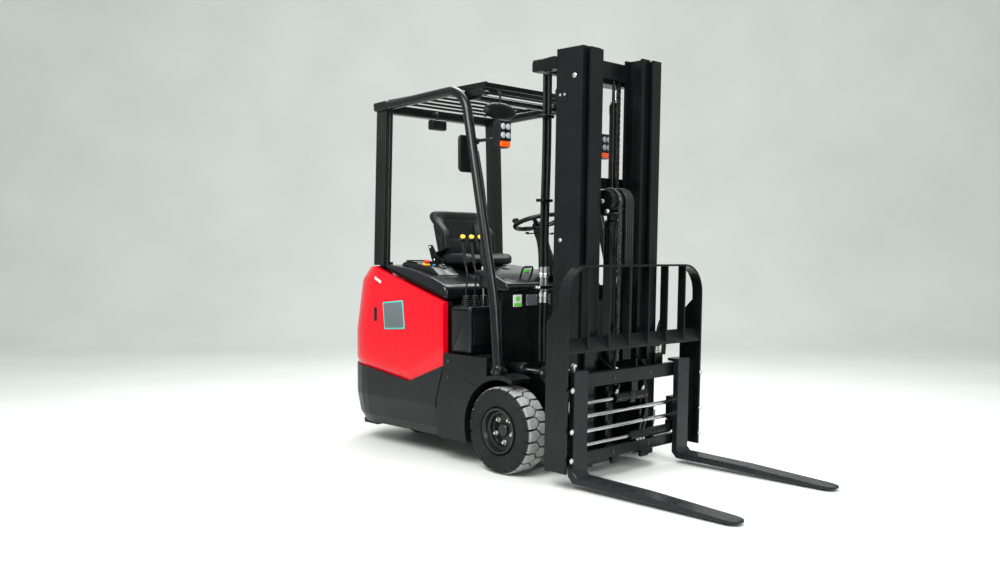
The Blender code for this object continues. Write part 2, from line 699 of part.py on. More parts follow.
def overhead_guard():
    """Legs, side tubes and cross tubes of the guard."""
    half = GUARD_HALF
    frame = box("front_cross", (-half, 0.470, GUARD_TOP - 0.020), (half, 0.510, GUARD_TOP + 0.010))
    pieces = [box("rear_cross", (-half, REAR_CROSS_Y, GUARD_TOP - 0.050), (half, 1.120, GUARD_TOP + 0.008), 0.010)]
    lip_top = TYRE_RADIUS + TYRE_RADIUS + ARCH_GAP + ARCH_LIP
    for side in (-1, 1):
        pieces.append(guard_tube(side, LEG_TUBE))
        low, high = sorted((side * 0.462, side * 0.524))
        pieces.append(box("foot", (low, -0.004, lip_top + GAP), (high, 0.060, 0.545), 0.004))
        low, high = sorted((side * 0.420, side * 0.458))
        pieces.append(box("leg_foot", (low, 1.020, CASTING_TOP + GAP), (high, 1.016 + REAR_LEG_DEPTH, 1.100)))
        low, high = sorted((side * 0.445, side * (0.445 + REAR_LEG_WIDTH)))
        leg = box("leg", (low, 1.018, 1.080), (high, 1.018 + REAR_LEG_DEPTH, GUARD_TOP), 0.012, 2)
        shear = Matrix.Identity(4)
        shear[0][2] = -side * 0.028
        leg.data.transform(Matrix.Translation((0, 0, 1.080)) @ shear @ Matrix.Translation((0, 0, -1.080)))
        pieces.append(leg)
    unite(frame, *pieces)
    part(frame, "overhead_guard", BLACK_PAINT)


def guard_grille():
    """Slatted roof between the side tubes."""
    rail_x = GUARD_HALF - LEG_TUBE - 0.006
    front, rear = 0.195, 1.055
    low_z, high_z = GUARD_TOP + 0.0104, GUARD_TOP + 0.026
    pieces = []
    for side in (-1, 1):
        low, high = sorted((side * (rail_x - 0.012), side * rail_x))
        pieces.append(plate("rail", [(front, high_z - 0.030), (front, high_z), (rear, high_z), (rear, low_z),
                                     (0.370, low_z), (0.350, 1.985), (0.250, 1.985)], low, high))
    for i in range(SLAT_COUNT):
        y = front + 0.006 + (rear - front - 0.02) * i / (SLAT_COUNT - 1)
        low = high_z - 0.002 - SLAT_HEIGHT if y < 0.43 or 0.55 < y else low_z
        if 0.36 < y:
            low = low_z
        pieces.append(box("slat", (-rail_x + 0.004, y, low), (rail_x - 0.004, y + 0.010, high_z - 0.002)))
    first = pieces.pop(0)
    unite(first, *pieces)
    part(first, "guard_grille", BLACK_PAINT)


def lamp(side, name):
    """Work lamp with its turn light, on an arm from the front leg."""
    x = side * 0.4145
    body = box("lamp", (x - 0.0405, 0.062, 1.706), (x + 0.0405, 0.125, 1.850), 0.012, 2)
    low, high = sorted((side * 0.436, side * 0.475))
    arm = box("arm", (low, 0.110, 1.742), (high, 0.275, 1.766))
    cut(arm, guard_tube(side, LEG_TUBE + GAP, "tube_room"))
    unite(body, arm)
    part(body, name, LAMP_GLASS)


def mirrors():
    """Driver's mirror on each front leg and the wide mirror under the roof."""
    for side, name in ((-1, "right_mirror"), (1, "left_mirror")):
        low, high = sorted((side * 0.392, side * 0.520))
        face = box("mirror", (low, 0.308, 1.590), (high, 0.328, 1.792), 0.008, 2)
        low, high = sorted((side * 0.455, side * 0.485))
        arm = box("arm", (low, 0.240, 1.682), (high, 0.312, 1.702))
        cut(arm, guard_tube(side, LEG_TUBE + GAP, "tube_room"))
        unite(face, arm)
        part(face, name, PLASTIC)
    wide = box("wide", (-0.441, 0.176, 1.875), (-0.207, 0.214, 1.968), 0.012, 3)
    stem = box("stem", (-0.332, 0.2015, 1.960), (-0.316, 0.2105, GUARD_TOP + 0.024 - SLAT_HEIGHT - GAP))
    unite(wide, stem)
    part(wide, "panoramic_mirror", PLASTIC)


def rear_lamp():
    """Spot lamp under the rear of the roof."""
    body = box("body", (-0.150, 0.972, 1.915), (-0.030, 1.030, 1.992), 0.014, 2)
    arm = box("arm", (-0.105, 1.010, 1.980), (-0.075, REAR_CROSS_Y - GAP, 2.036))
    unite(body, arm)
    part(body, "rear_spot_lamp", LAMP_GLASS)


# ---------------------------------------------------------------- mast

def rail(name, side, web, rear, front, bottom, top):
    """Upright rail from its section: web is (x, x), each flange (x, x, y, y)."""
    outline = [
        (front[0], front[2]), (front[1], front[2]), (front[1], front[3]), (web[1], front[3]),
        (web[1], rear[2]), (rear[1], rear[2]), (rear[1], rear[3]), (rear[0], rear[3]),
        (rear[0], rear[2]), (web[0], rear[2]), (web[0], front[3]), (front[0], front[3]),
    ]
    outline = list(dict.fromkeys((side * x, y) for x, y in outline))
    return plate(name, outline, bottom, top, "XY")


MIDDLE_WEB = CHANNEL_HALF - CHANNEL_FLANGE - STAGE_GAP
MIDDLE_REAR = CHANNEL_REAR - FLANGE_THICK - STAGE_GAP
MIDDLE_FRONT = CHANNEL_FRONT - STAGE_GAP - 0.020
INNER_WEB = MIDDLE_WEB - 0.042
INNER_REAR = MIDDLE_REAR - FLANGE_THICK - 0.018
INNER_FRONT = MIDDLE_FRONT + FLANGE_THICK + 0.014


def mast_outer():
    """Fixed stage: two rails, cross beams and the tilt brackets."""
    pieces = []
    for side in (-1, 1):
        flange = (CHANNEL_HALF - CHANNEL_FLANGE, CHANNEL_HALF)
        pieces.append(rail("outer_rail", side, (CHANNEL_HALF - WEB_THICK, CHANNEL_HALF),
                           (*flange, CHANNEL_REAR - FLANGE_THICK, CHANNEL_REAR),
                           (*flange, CHANNEL_FRONT, CHANNEL_FRONT + FLANGE_THICK), MAST_BOTTOM, MAST_TOP))
        low, high = sorted((side * 0.262, side * CHANNEL_HALF))
        pieces.append(box("top_arm", (low, CHANNEL_REAR - 0.002, 2.098), (high, 0.000, 2.162), 0.004))
        ear = plate("pivot_ear", [(CHANNEL_REAR - 0.004, 0.110), (PIVOT_Y, PIVOT_Z - 0.033), (PIVOT_Y + 0.024, PIVOT_Z - 0.024),
                                  (PIVOT_Y + 0.033, PIVOT_Z), (PIVOT_Y + 0.024, PIVOT_Z + 0.024), (PIVOT_Y, PIVOT_Z + 0.033),
                                  (CHANNEL_REAR - 0.004, 0.300)], *sorted((side * 0.266, side * 0.300)))
        pieces.append(ear)
        for x in (TILT_X - 0.034, TILT_X + 0.022):
            lug_low, lug_high = sorted((side * x, side * (x + 0.012)))
            lug = plate("tilt_lug", [(CHANNEL_REAR - 0.020, TILT_Z - 0.055), (TILT_EYE_Y + 0.010, TILT_Z - 0.026),
                                     (TILT_EYE_Y + 0.026, TILT_Z), (TILT_EYE_Y + 0.010, TILT_Z + 0.026),
                                     (CHANNEL_REAR - 0.020, TILT_Z + 0.055)], lug_low, lug_high)
            pieces.append(lug)
        low, high = sorted((side * (CHANNEL_HALF - 0.008), side * (TILT_X + 0.034)))
        pieces.append(box("lug_base", (low, CHANNEL_REAR - 0.030, TILT_Z - 0.053), (high, CHANNEL_REAR - 0.012, TILT_Z + 0.053)))
    pieces.append(box("top_beam", (-CHANNEL_HALF, -0.045, 2.100), (CHANNEL_HALF, 0.000, 2.162), 0.004))
    beam_front, beam_rear = CHANNEL_REAR - FLANGE_THICK + 0.001, CHANNEL_REAR + 0.002
    for low_z, high_z in ((0.320, 0.420), (0.900, 0.980), (1.500, 1.560)):
        pieces.append(box("cross_beam", (-0.262, beam_front, low_z), (0.262, beam_rear, high_z)))
    pieces.append(box("foot_beam", (-0.262, beam_front, 0.062), (0.262, CHANNEL_REAR + 0.075, 0.085)))
    first = pieces.pop(0)
    unite(first, *pieces)
    for side in (-1, 1):
        cut(first, rod("pin_hole", (side * 0.24, PIVOT_Y, PIVOT_Z), (side * 0.35, PIVOT_Y, PIVOT_Z), PIVOT_PIN + BORE_GAP, 24))
        start, end = (side * 0.29, TILT_EYE_Y, TILT_Z), (side * 0.385, TILT_EYE_Y, TILT_Z)
        cut(first, rod("eye_hole", start, end, TILT_PIN_RADIUS + TILT_PIN_GAP, 20))
    part(first, "mast_outer_stage", BLACK_PAINT, (0, PIVOT_Y, PIVOT_Z))


def mast_middle():
    """Second stage, its flanges inside and in front of the outer rails."""
    pieces = []
    for side in (-1, 1):
        pieces.append(rail("middle_rail", side, (MIDDLE_WEB - WEB_THICK, MIDDLE_WEB),
                           (MIDDLE_WEB - 0.030, CHANNEL_HALF - WEB_THICK - STAGE_GAP, MIDDLE_REAR - FLANGE_THICK, MIDDLE_REAR),
                           (MIDDLE_WEB - 0.030, MIDDLE_WEB + 0.042, MIDDLE_FRONT, MIDDLE_FRONT + FLANGE_THICK),
                           MAST_BOTTOM, MAST_TOP - 0.006))
    reach = MIDDLE_WEB - 0.004
    pieces.append(box("top_beam", (-reach, MIDDLE_REAR - 0.012, 2.060), (reach, MIDDLE_REAR + 0.0, 2.180)))
    pieces.append(box("rod_shelf", (-0.235, CHANNEL_REAR - 0.03, 2.060), (0.235, -0.110, 2.085)))
    pieces.append(box("low_beam", (-reach, MIDDLE_REAR - 0.012, 0.110), (reach, MIDDLE_REAR, 0.190)))
    first = pieces.pop(0)
    unite(first, *pieces)
    part(first, "mast_middle_stage", BLACK_PAINT, (0, PIVOT_Y, PIVOT_Z))


def mast_inner():
    """Third stage, which guides the carriage rollers."""
    pieces = []
    for side in (-1, 1):
        pieces.append(rail("inner_rail", side, (INNER_WEB - WEB_THICK, INNER_WEB),
                           (INNER_WEB - 0.044, INNER_WEB + 0.020, INNER_REAR - FLANGE_THICK, INNER_REAR),
                           (INNER_WEB - 0.044, INNER_WEB + 0.020, INNER_FRONT, INNER_FRONT + FLANGE_THICK),
                           MAST_BOTTOM + 0.010, MAST_TOP))
    reach = INNER_WEB - 0.004
    pieces.append(box("top_beam", (-reach, INNER_REAR - 0.016, 2.080), (reach, INNER_REAR - 0.002, 2.170)))
    pieces.append(box("low_beam", (-reach, INNER_REAR - 0.060, 0.072), (reach, INNER_REAR - 0.002, 0.110)))
    first = pieces.pop(0)
    unite(first, *pieces)
    part(first, "mast_inner_stage", BLACK_PAINT, (0, PIVOT_Y, PIVOT_Z))


def lift_cylinders():
    """Main lift cylinders: open barrels and the rods that raise the middle stage."""
    y = CHANNEL_REAR + 0.036
    foot_top = 0.085 + GAP
    for side, name in ((-1, "right"), (1, "left")):
        x = side * 0.195
        barrel = rod("barrel", (x, y, foot_top), (x, y, 1.980), LIFT_BARREL_RADIUS, 24)
        cut(barrel, rod("bore", (x, y, 0.120), (x, y, 2.1), LIFT_ROD_RADIUS + BORE_GAP, 24))
        part(barrel, name + "_lift_barrel", BLACK_PAINT)
        ram = rod("ram", (x, y, 0.300), (x, y, 2.060 - GAP), LIFT_ROD_RADIUS, 24)
        part(ram, name + "_lift_rod", CHROME, (x, y, 0.3))


def free_lift():
    """Free-lift cylinder between the rails, its crosshead, chains and hoses."""
    y = INNER_REAR - 0.060
    barrel = rod("barrel", (0, y, 0.110 + GAP), (0, y, 1.330), 0.036, 24)
    cut(barrel, rod("bore", (0, y, 0.150), (0, y, 1.4), 0.022 + BORE_GAP, 24))
    part(barrel, "free_lift_barrel", BLACK_PAINT)
    ram = rod("ram", (0, y, 0.500), (0, y, 1.370), 0.022, 24)
    head = box("head", (-0.125, SHEAVE_Y + 0.020, 1.352), (0.060, INNER_REAR - 0.034, 1.392), 0.004)
    cheek = plate("cheek", [(SHEAVE_Y - 0.040, SHEAVE_Z - 0.050), (SHEAVE_Y - 0.040, SHEAVE_Z + 0.040),
                            (SHEAVE_Y + 0.030, SHEAVE_Z + 0.040), (INNER_REAR - 0.040, 1.380),
                            (INNER_REAR - 0.040, 1.356)], -0.125, -0.113)
    wheel = rod("sheave", (-0.120, SHEAVE_Y, SHEAVE_Z), (0.056, SHEAVE_Y, SHEAVE_Z), SHEAVE_RADIUS, 32)
    unite(head, cheek, wheel, ram)
    part(head, "free_lift_crosshead", BLACK_PAINT)


def chain_and_hoses():
    """Free-lift chain and the hose bundle that hang from the crosshead."""
    front = SHEAVE_Y - SHEAVE_RADIUS
    chain = box("chain", (-0.075, front - 0.013, 0.600), (-0.050, front - GAP, SHEAVE_Z))
    part(chain, "free_lift_chain", CHAIN_STEEL)
    hoses = box("hoses", (-0.020, front - 0.013, 0.600), (0.050, front - GAP, SHEAVE_Z), 0.003)
    part(hoses, "carriage_hoses", HOSE_RUBBER)


def rear_hoses():
    """Hose bundle behind the right rail, from the top beam to its fittings."""
    bundle = tube("bundle", [(-0.262, -0.060, 0.560), (-0.262, -0.060, 2.0977)], 0.026, 2)
    part(bundle, "mast_hoses", HOSE_RUBBER)


# ---------------------------------------------------------------- carriage and forks

REAR_OF_SHANK = FORK_FACE + FORK_THICK
BAR_FRONT = REAR_OF_SHANK + 0.005
BAR_REAR = BAR_FRONT + 0.034
ROD_Y = REAR_OF_SHANK + 0.024
GUIDE_HEIGHTS = (0.270, 0.345)
BLOCK_LOW = 0.245
BLOCK_TOP = 0.372
BAR_LOW = 0.490
ROLLER_X = 0.150
SIDE_BLOCK = 0.515


def carriage():
    """Upper and lower bars, roller plates and the side blocks for the backrest."""
    block_end = BACKREST_HALF - UPRIGHT_THICK - GAP
    upper = box("upper_bar", (-block_end, BAR_FRONT, BAR_LOW), (block_end, BAR_REAR, 0.562), 0.003)
    pieces = [box("lower_bar", (-block_end, BAR_FRONT, 0.115), (block_end, BAR_REAR, 0.170), 0.003)]
    for side in (-1, 1):
        low, high = sorted((side * SIDE_BLOCK, side * block_end))
        pieces.append(box("side_block", (low, BAR_FRONT, 0.115), (high, BAR_REAR + 0.010, 0.562)))
        low, high = sorted((side * (ROLLER_X - 0.016), side * ROLLER_X))
        profile = [(BAR_FRONT + 0.010, 0.120), (BAR_FRONT + 0.010, 0.164), (BAR_REAR + 0.018, 0.164), (BAR_REAR + 0.018, 0.470),
                   (BAR_FRONT + 0.010, 0.492), (BAR_FRONT + 0.010, 0.560), (INNER_FRONT + 0.012, 0.620),
                   (INNER_REAR - 0.030, 0.600), (INNER_REAR - 0.030, 0.120)]
        pieces.append(plate("roller_plate", profile, low, high))
        middle = (INNER_FRONT + INNER_REAR) / 2
        for z in (0.165, 0.555):
            start = (side * (ROLLER_X - 0.004), middle, z)
            end = (side * (INNER_WEB - WEB_THICK - 0.006), middle, z)
            pieces.append(rod("roller", start, end, 0.034, 24))
    unite(upper, *pieces)
    part(upper, "carriage", BLACK_PAINT)


def guide_rods():
    """Ground rods that the forks slide on, with the left positioner's rod,
    held by a strap at each end."""
    end = SIDE_BLOCK - GAP
    frame = box("strap", (-end, ROD_Y - 0.008, POSITIONER_LOW - 0.012), (-end + 0.006, ROD_Y + 0.008, GUIDE_HEIGHTS[1] + 0.012))
    other = box("strap", (end - 0.006, ROD_Y - 0.008, GUIDE_HEIGHTS[0] - 0.012), (end, ROD_Y + 0.008, GUIDE_HEIGHTS[1] + 0.012))
    bars = [rod("bar", (-end + 0.001, ROD_Y, z), (end - 0.001, ROD_Y, z), ROD_RADIUS, 20) for z in GUIDE_HEIGHTS]
    ram = rod("ram", (-end + 0.001, ROD_Y, POSITIONER_LOW), (0.060, ROD_Y, POSITIONER_LOW), POSITIONER_ROD, 16)
    unite(frame, *bars, other, ram)
    part(frame, "fork_guide_rods", CHROME)


def backrest():
    """Load backrest: deep uprights, a bent flat bar and its upright bars."""
    half, top = BACKREST_HALF, BACKREST_TOP
    inner = half - UPRIGHT_THICK
    bend = 0.160
    outer_line = [(half, 0.840), *arc((half - bend, top - bend), bend, 0, 90, 8)]
    inner_line = [*arc((half - bend, top - bend), bend - 0.010, 90, 0, 8), (inner + 0.002, 0.840)]
    hoop = plate("hoop", [*outer_line, *[(-x, z) for x, z in reversed(outer_line)],
                          *[(-x, z) for x, z in reversed(inner_line)], *inner_line],
                 FORK_FACE, FORK_FACE + 0.060, "XZ")
    pieces = []
    for side in (-1, 1):
        low, high = sorted((side * inner, side * half))
        pieces.append(plate("upright", [(FORK_FACE, BACKREST_BOTTOM), (FORK_FACE, 0.900), (FORK_FACE + 0.060, 0.900),
                                        (FORK_FACE + UPRIGHT_DEPTH, 0.820),
                                        (FORK_FACE + UPRIGHT_DEPTH, BACKREST_BOTTOM)], low, high))
        for k in (0.08, 0.24, 0.40):
            low, high = sorted((side * k - 0.005, side * k + 0.005))
            pieces.append(box("bar", (low, FORK_FACE + 0.004, 0.690), (high, FORK_FACE + 0.004 + BAR_DEPTH, top - 0.004)))
    shelf = plate("shelf", [(FORK_FACE + 0.004, 0.672), (FORK_FACE + 0.004, 0.684), (FORK_FACE + 0.052, 0.742),
                            (FORK_FACE + 0.060, 0.736)], -inner - 0.004, inner + 0.004)
    pieces.append(shelf)
    unite(hoop, *pieces)
    part(hoop, "load_backrest", BLACK_PAINT)


def fork(outer, side, name):
    """L-shaped fork with a tapered blade and its slide block."""
    low, high = sorted((outer, outer - side * FORK_WIDTH))
    tip = FORK_FACE - FORK_LENGTH
    profile = [
        (REAR_OF_SHANK, FORK_TOP), (FORK_FACE, FORK_TOP),
        (FORK_FACE, FORK_BOTTOM + FORK_THICK + 0.020), (FORK_FACE - 0.020, FORK_BOTTOM + FORK_THICK),
        (FORK_FACE - 0.45 * FORK_LENGTH, FORK_BOTTOM + FORK_THICK - 0.003),
        (tip + 0.010, FORK_BOTTOM + TIP_THICK + 0.003), (tip, FORK_BOTTOM + TIP_THICK),
        (tip, FORK_BOTTOM), (REAR_OF_SHANK - 0.030, FORK_BOTTOM), (REAR_OF_SHANK, FORK_BOTTOM + 0.030),
    ]
    body = plate(name, profile, low, high)
    bevel(body, 0.003, 1, 60)
    middle = (low + high) / 2
    half = FORK_WIDTH / 2
    nose = [(0.35 * half, -0.001), (0.66 * half, 0.009), (0.88 * half, 0.032), (half, 0.075), (half + 0.010, 0.130)]
    point = plate("point", [*[(middle + x, tip + y) for x, y in nose], (high + 0.010, 0.3), (low - 0.010, 0.3),
                            *[(middle - x, tip + y) for x, y in reversed(nose)]], -0.1, 0.9, "XY")
    keep(body, point)
    block_rear = ROD_Y + 0.026
    block = box("block", (low + 0.008, REAR_OF_SHANK - 0.006, BLOCK_LOW), (high - 0.008, block_rear, BLOCK_TOP))
    hook = box("hook", (low + 0.008, REAR_OF_SHANK - 0.006, 0.5675), (high - 0.008, BAR_REAR + 0.004, FORK_TOP - 0.002))
    unite(body, block, hook)
    for z in GUIDE_HEIGHTS:
        cut(body, rod("rod_hole", (low - 0.1, ROD_Y, z), (high + 0.1, ROD_Y, z), ROD_RADIUS + BORE_GAP, 20))
    part(body, name, FORK_STEEL, (middle, FORK_FACE, FORK_BOTTOM))
    return middle


def positioners():
    """Cylinders that set the forks apart, one for each fork."""
    z = POSITIONER_HIGH
    inner_right = RIGHT_FORK_OUTER + FORK_WIDTH
    barrel = rod("barrel", (-0.130, ROD_Y, z), (0.132, ROD_Y, z), POSITIONER_RADIUS, 20)
    cut(barrel, rod("bore", (-0.2, ROD_Y, z), (0.118, ROD_Y, z), POSITIONER_ROD + BORE_GAP, 16))
    bracket = box("bracket", (0.010, ROD_Y - 0.008, z + 0.013), (0.060, ROD_Y + 0.010, BAR_LOW - GAP))
    unite(barrel, bracket)
    part(barrel, "right_positioner_barrel", BLACK_PAINT)
    ram = rod("ram", (inner_right + 0.004, ROD_Y, z), (-0.110, ROD_Y, z), POSITIONER_ROD, 16)
    ear = box("ear", (inner_right - 0.060, ROD_Y - 0.012, BLOCK_TOP + GAP), (inner_right + 0.010, ROD_Y + 0.014, z + 0.013))
    unite(ear, ram)
    part(ear, "right_positioner_rod", CHROME)
    z = POSITIONER_LOW
    inner_left = LEFT_FORK_OUTER - FORK_WIDTH
    barrel = rod("barrel", (0.0, ROD_Y, z), (inner_left - 0.002, ROD_Y, z), POSITIONER_RADIUS, 20)
    cut(barrel, rod("bore", (-0.1, ROD_Y, z), (inner_left - 0.020, ROD_Y, z), POSITIONER_ROD + BORE_GAP, 16))
    ear = box("ear", (inner_left - 0.014, ROD_Y - 0.012, z - 0.013), (inner_left + 0.080, ROD_Y + 0.012, BLOCK_LOW - GAP))
    unite(barrel, ear)
    part(barrel, "left_positioner_barrel", BLACK_PAINT)


# ---------------------------------------------------------------- tilt cylinders

def tilt_cylinders():
    """Barrels hung in the chassis and rods pinned to the outer stage."""
    z = tilt_eye.z
    for side, name in ((-1, "right"), (1, "left")):
        x = side * TILT_X
        barrel = rod("barrel", (x, -0.020, z), (x, TILT_REAR_Y, z), TILT_RADIUS, 24)
        cut(barrel, rod("bore", (x, -0.2, z), (x, TILT_REAR_Y - 0.060, z), TILT_ROD_RADIUS + BORE_GAP, 20))
        part(barrel, name + "_tilt_barrel", BLACK_PAINT, (x, TILT_REAR_Y, z))
        ram = rod("ram", (x, tilt_eye.y + 0.004, z), (x, TILT_REAR_Y - 0.100, z), TILT_ROD_RADIUS, 20)
        eye = rod("eye", (x - 0.016, tilt_eye.y, z), (x + 0.016, tilt_eye.y, z), TILT_EYE_RADIUS, 24)
        pin = rod("pin", (x - 0.038, tilt_eye.y, z), (x + 0.038, tilt_eye.y, z), TILT_PIN_RADIUS, 20)
        unite(ram, eye, pin)
        part(ram, name + "_tilt_rod", CHROME, (x, tilt_eye.y, z))


def main():
    front_wheel(-1, "front_right")
    front_wheel(1, "front_left")
    drive_axle()
    rear_wheels()
    chassis()
    counterweight()
    side_panel(-1, "right_side_panel")
    side_panel(1, "left_side_panel")
    battery()
    dashboard()
    right_cowl()
    deck()
    steering()
    overhead_guard()
    guard_grille()
    lamp(-1, "right_work_lamp")
    lamp(1, "left_work_lamp")
    mirrors()
    rear_lamp()
    tilt_cylinders()
    place["frame"] = mast_frame
    mast_outer()
    mast_middle()
    mast_inner()
    lift_cylinders()
    free_lift()
    chain_and_hoses()
    rear_hoses()
    carriage()
    guide_rods()
    backrest()
    fork(RIGHT_FORK_OUTER, -1, "right_fork")
    fork(LEFT_FORK_OUTER, 1, "left_fork")
    positioners()


main()
for tool in cutters.objects:
    tool.hide_render = True
    tool.display_type = "WIRE"
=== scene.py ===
"""Looks of the three-wheel electric forklift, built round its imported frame.

Lengths are metres. Truck lengths are written from the front axle, where y is
0, and here() moves them into the row frame. Mast lengths are written for an
upright mast, and raised() leans them about the tilt pin.
"""
import math
import bmesh
import bpy
import numpy as np
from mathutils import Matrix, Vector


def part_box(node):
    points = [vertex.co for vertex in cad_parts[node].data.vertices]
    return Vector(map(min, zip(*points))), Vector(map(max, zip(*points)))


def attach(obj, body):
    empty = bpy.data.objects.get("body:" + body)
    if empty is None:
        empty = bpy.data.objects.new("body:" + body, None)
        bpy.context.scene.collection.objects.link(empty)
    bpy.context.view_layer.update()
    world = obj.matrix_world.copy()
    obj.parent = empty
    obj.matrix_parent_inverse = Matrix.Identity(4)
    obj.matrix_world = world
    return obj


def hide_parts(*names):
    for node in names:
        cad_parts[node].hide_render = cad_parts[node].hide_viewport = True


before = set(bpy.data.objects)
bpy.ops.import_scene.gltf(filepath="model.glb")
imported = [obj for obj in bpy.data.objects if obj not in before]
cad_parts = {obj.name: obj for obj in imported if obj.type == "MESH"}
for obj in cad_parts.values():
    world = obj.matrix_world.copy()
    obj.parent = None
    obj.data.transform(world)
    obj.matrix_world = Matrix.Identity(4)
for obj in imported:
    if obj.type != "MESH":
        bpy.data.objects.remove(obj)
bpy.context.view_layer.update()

TYRE_LOW, TYRE_HIGH = (np.array(c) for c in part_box("front_right_tyre"))
AXLE_Y = float((TYRE_LOW[1] + TYRE_HIGH[1]) / 2)
TYRE_R = float((TYRE_HIGH[2] - TYRE_LOW[2]) / 2)
LEAN = math.radians(1.3)
PIVOT = np.array((0.0, -0.09, 0.2))
TAU = 2 * math.pi
SIDES = (("right", -1), ("left", 1))
FRONT_WIDTH = 0.165
FRONT_BEAD = 0.122
REAR_TYRE_R = 0.190
REAR_WIDTH = 0.104
REAR_BEAD = 0.105
GROOVE_DEPTH = 0.013
NUT_CIRCLE = 0.0645
LEVER_X = -0.435
LEVER_STEP = 0.065
LEVER_Y = 0.350
LEVER_FOOT_Z = 0.858
RING_R = 0.137
GRIP_R = 0.0128
GUARD_TUBE_R = 0.027
GUARD_HALF = 0.465
GUARD_FOOT_X = 0.500
LAMP_X = (0.374, 0.455)
TILT_X = 0.340
TILT_EYE_Y = -0.1675
MAST_SIDE = 0.3205
BODY_HALF = 0.530
CORNER_Y = 1.14
CORNER_R = 0.310
TAIL_Z = (0.10, 0.685, 0.991, 1.06, 1.30)
TAIL_LEAN = (0, 0, 0.063, 0.135, 0.135)
MIRROR_Y = 0.308
RAM_X = 0.195
RAM_Y = -0.139
SHEAVE_Y = -0.334
SHEAVE_Z = 1.425
WRAP_R = 0.0665
CHAIN_Y = -0.4005
CARRIAGE_FACE = -0.4566


def here(points):
    """Truck lengths in the row frame: each point plus the front axle's y."""
    return np.asarray(points, float) + (0.0, AXLE_Y, 0.0)


def raised(points):
    """Upright mast lengths in the row frame: each point turned about the tilt
    pin by the lean, y' = y cos - z sin and z' = y sin + z cos."""
    p = np.asarray(points, float) - PIVOT
    c, s = math.cos(LEAN), math.sin(LEAN)
    turned = np.stack((p[..., 0], c * p[..., 1] - s * p[..., 2], s * p[..., 1] + c * p[..., 2]), -1)
    return here(turned + PIVOT)


# ---------------------------------------------------------------- finishes

class Finish:
    """A procedural finish on object coordinates, joined socket by socket."""

    def __init__(self, name, slot=None, metallic=0.0, **fixed):
        self.mat = bpy.data.materials.new(name)
        self.mat.use_nodes = True
        self.slot = slot
        self.tree = self.mat.node_tree
        self.shader = self.tree.nodes["Principled BSDF"]
        self.shader.inputs["Metallic"].default_value = metallic
        for socket, value in fixed.items():
            self.shader.inputs[socket.replace("_", " ")].default_value = value
        self.space = self.tree.nodes.new("ShaderNodeTexCoord").outputs["Object"]

    def node(self, kind, out, **sockets):
        """A node of one kind with its sockets set or linked."""
        made = self.tree.nodes.new("ShaderNode" + kind)
        for key, value in sockets.items():
            self.feed(made.inputs[key.replace("_", " ")], value)
        return made.outputs[out]

    def feed(self, socket, value):
        """Link an output, or set a plain value."""
        if isinstance(value, bpy.types.NodeSocket):
            self.tree.links.new(value, socket)
        else:
            socket.default_value = value

    def noise(self, scale, detail=4.0, stretch=None):
        """Fractal noise, optionally stretched along an axis."""
        space = self.space
        if stretch:
            space = self.node("Mapping", "Vector", Vector=space, Scale=stretch)
        return self.node("TexNoise", "Fac", Vector=space, Scale=scale, Detail=detail)

    def cells(self, scale):
        """Rounded cells: the distance to the nearest scattered point."""
        return self.node("TexVoronoi", "Distance", Vector=self.space, Scale=scale)

    def remap(self, value, low, high, first, last):
        """Straight-line map of low..high to first..last, held at its ends."""
        return self.node("MapRange", "Result", Value=value, From_Min=low, From_Max=high, To_Min=first,
                To_Max=last)

    def times(self, one, two):
        """The product of two values."""
        made = self.tree.nodes.new("ShaderNodeMath")
        made.operation = "MULTIPLY"
        self.feed(made.inputs[0], one)
        self.feed(made.inputs[1], two)
        return made.outputs[0]

    def facing_up(self):
        """How far a face looks up, 0 to 1."""
        normal = self.node("NewGeometry", "Normal")
        made = self.tree.nodes.new("ShaderNodeSeparateXYZ")
        self.tree.links.new(normal, made.inputs[0])
        return self.remap(made.outputs["Z"], 0.35, 1.0, 0.0, 1.0)

    def mix(self, amount, first, second):
        """One colour going to another."""
        made = self.tree.nodes.new("ShaderNodeMix")
        made.data_type = "RGBA"
        self.feed(made.inputs[0], amount)
        for socket, value in ((made.inputs[6], first), (made.inputs[7], second)):
            self.feed(socket, (*value, 1.0) if isinstance(value, tuple) else value)
        return made.outputs[2]

    def coat(self, colour=None, rough=None, height=None, strength=0.2, distance=0.001):
        """Colour, roughness and bump on the shader."""
        if colour is not None:
            self.feed(self.shader.inputs["Base Color"], colour)
        if rough is not None:
            self.feed(self.shader.inputs["Roughness"], rough)
        if height is not None:
            bump = self.node("Bump", "Normal", Height=height, Strength=strength, Distance=distance)
            self.tree.links.new(bump, self.shader.inputs["Normal"])
        return self


def surface(name, slot, dark, light, rough, grain, bump, dust=0.0, metallic=0.0, stretch=None, **fixed):
    """A coated or moulded surface: slow mottling between two tones, roughness
    that wanders, fine grain as bump, and dust where a face looks up."""
    fixed.setdefault("Specular_IOR_Level", 0.24)
    f = Finish(name, slot, metallic, **fixed)
    slow = f.noise(5.0, 6.0)
    colour = f.mix(f.remap(slow, 0.3, 0.7, 0.0, 1.0), dark, light)
    if dust:
        film = f.times(f.facing_up(), f.remap(f.noise(14.0, 8.0), 0.35, 0.75, 0.2 * dust, dust))
        colour = f.mix(film, colour, (0.30, 0.30, 0.29))
    fine = f.noise(grain, 3.0, stretch)
    marks = f.noise(38.0, 5.0, (1.0, 1.0, 0.35))
    return f.coat(colour, f.remap(marks, 0.3, 0.72, rough[0], rough[1]), fine, bump)


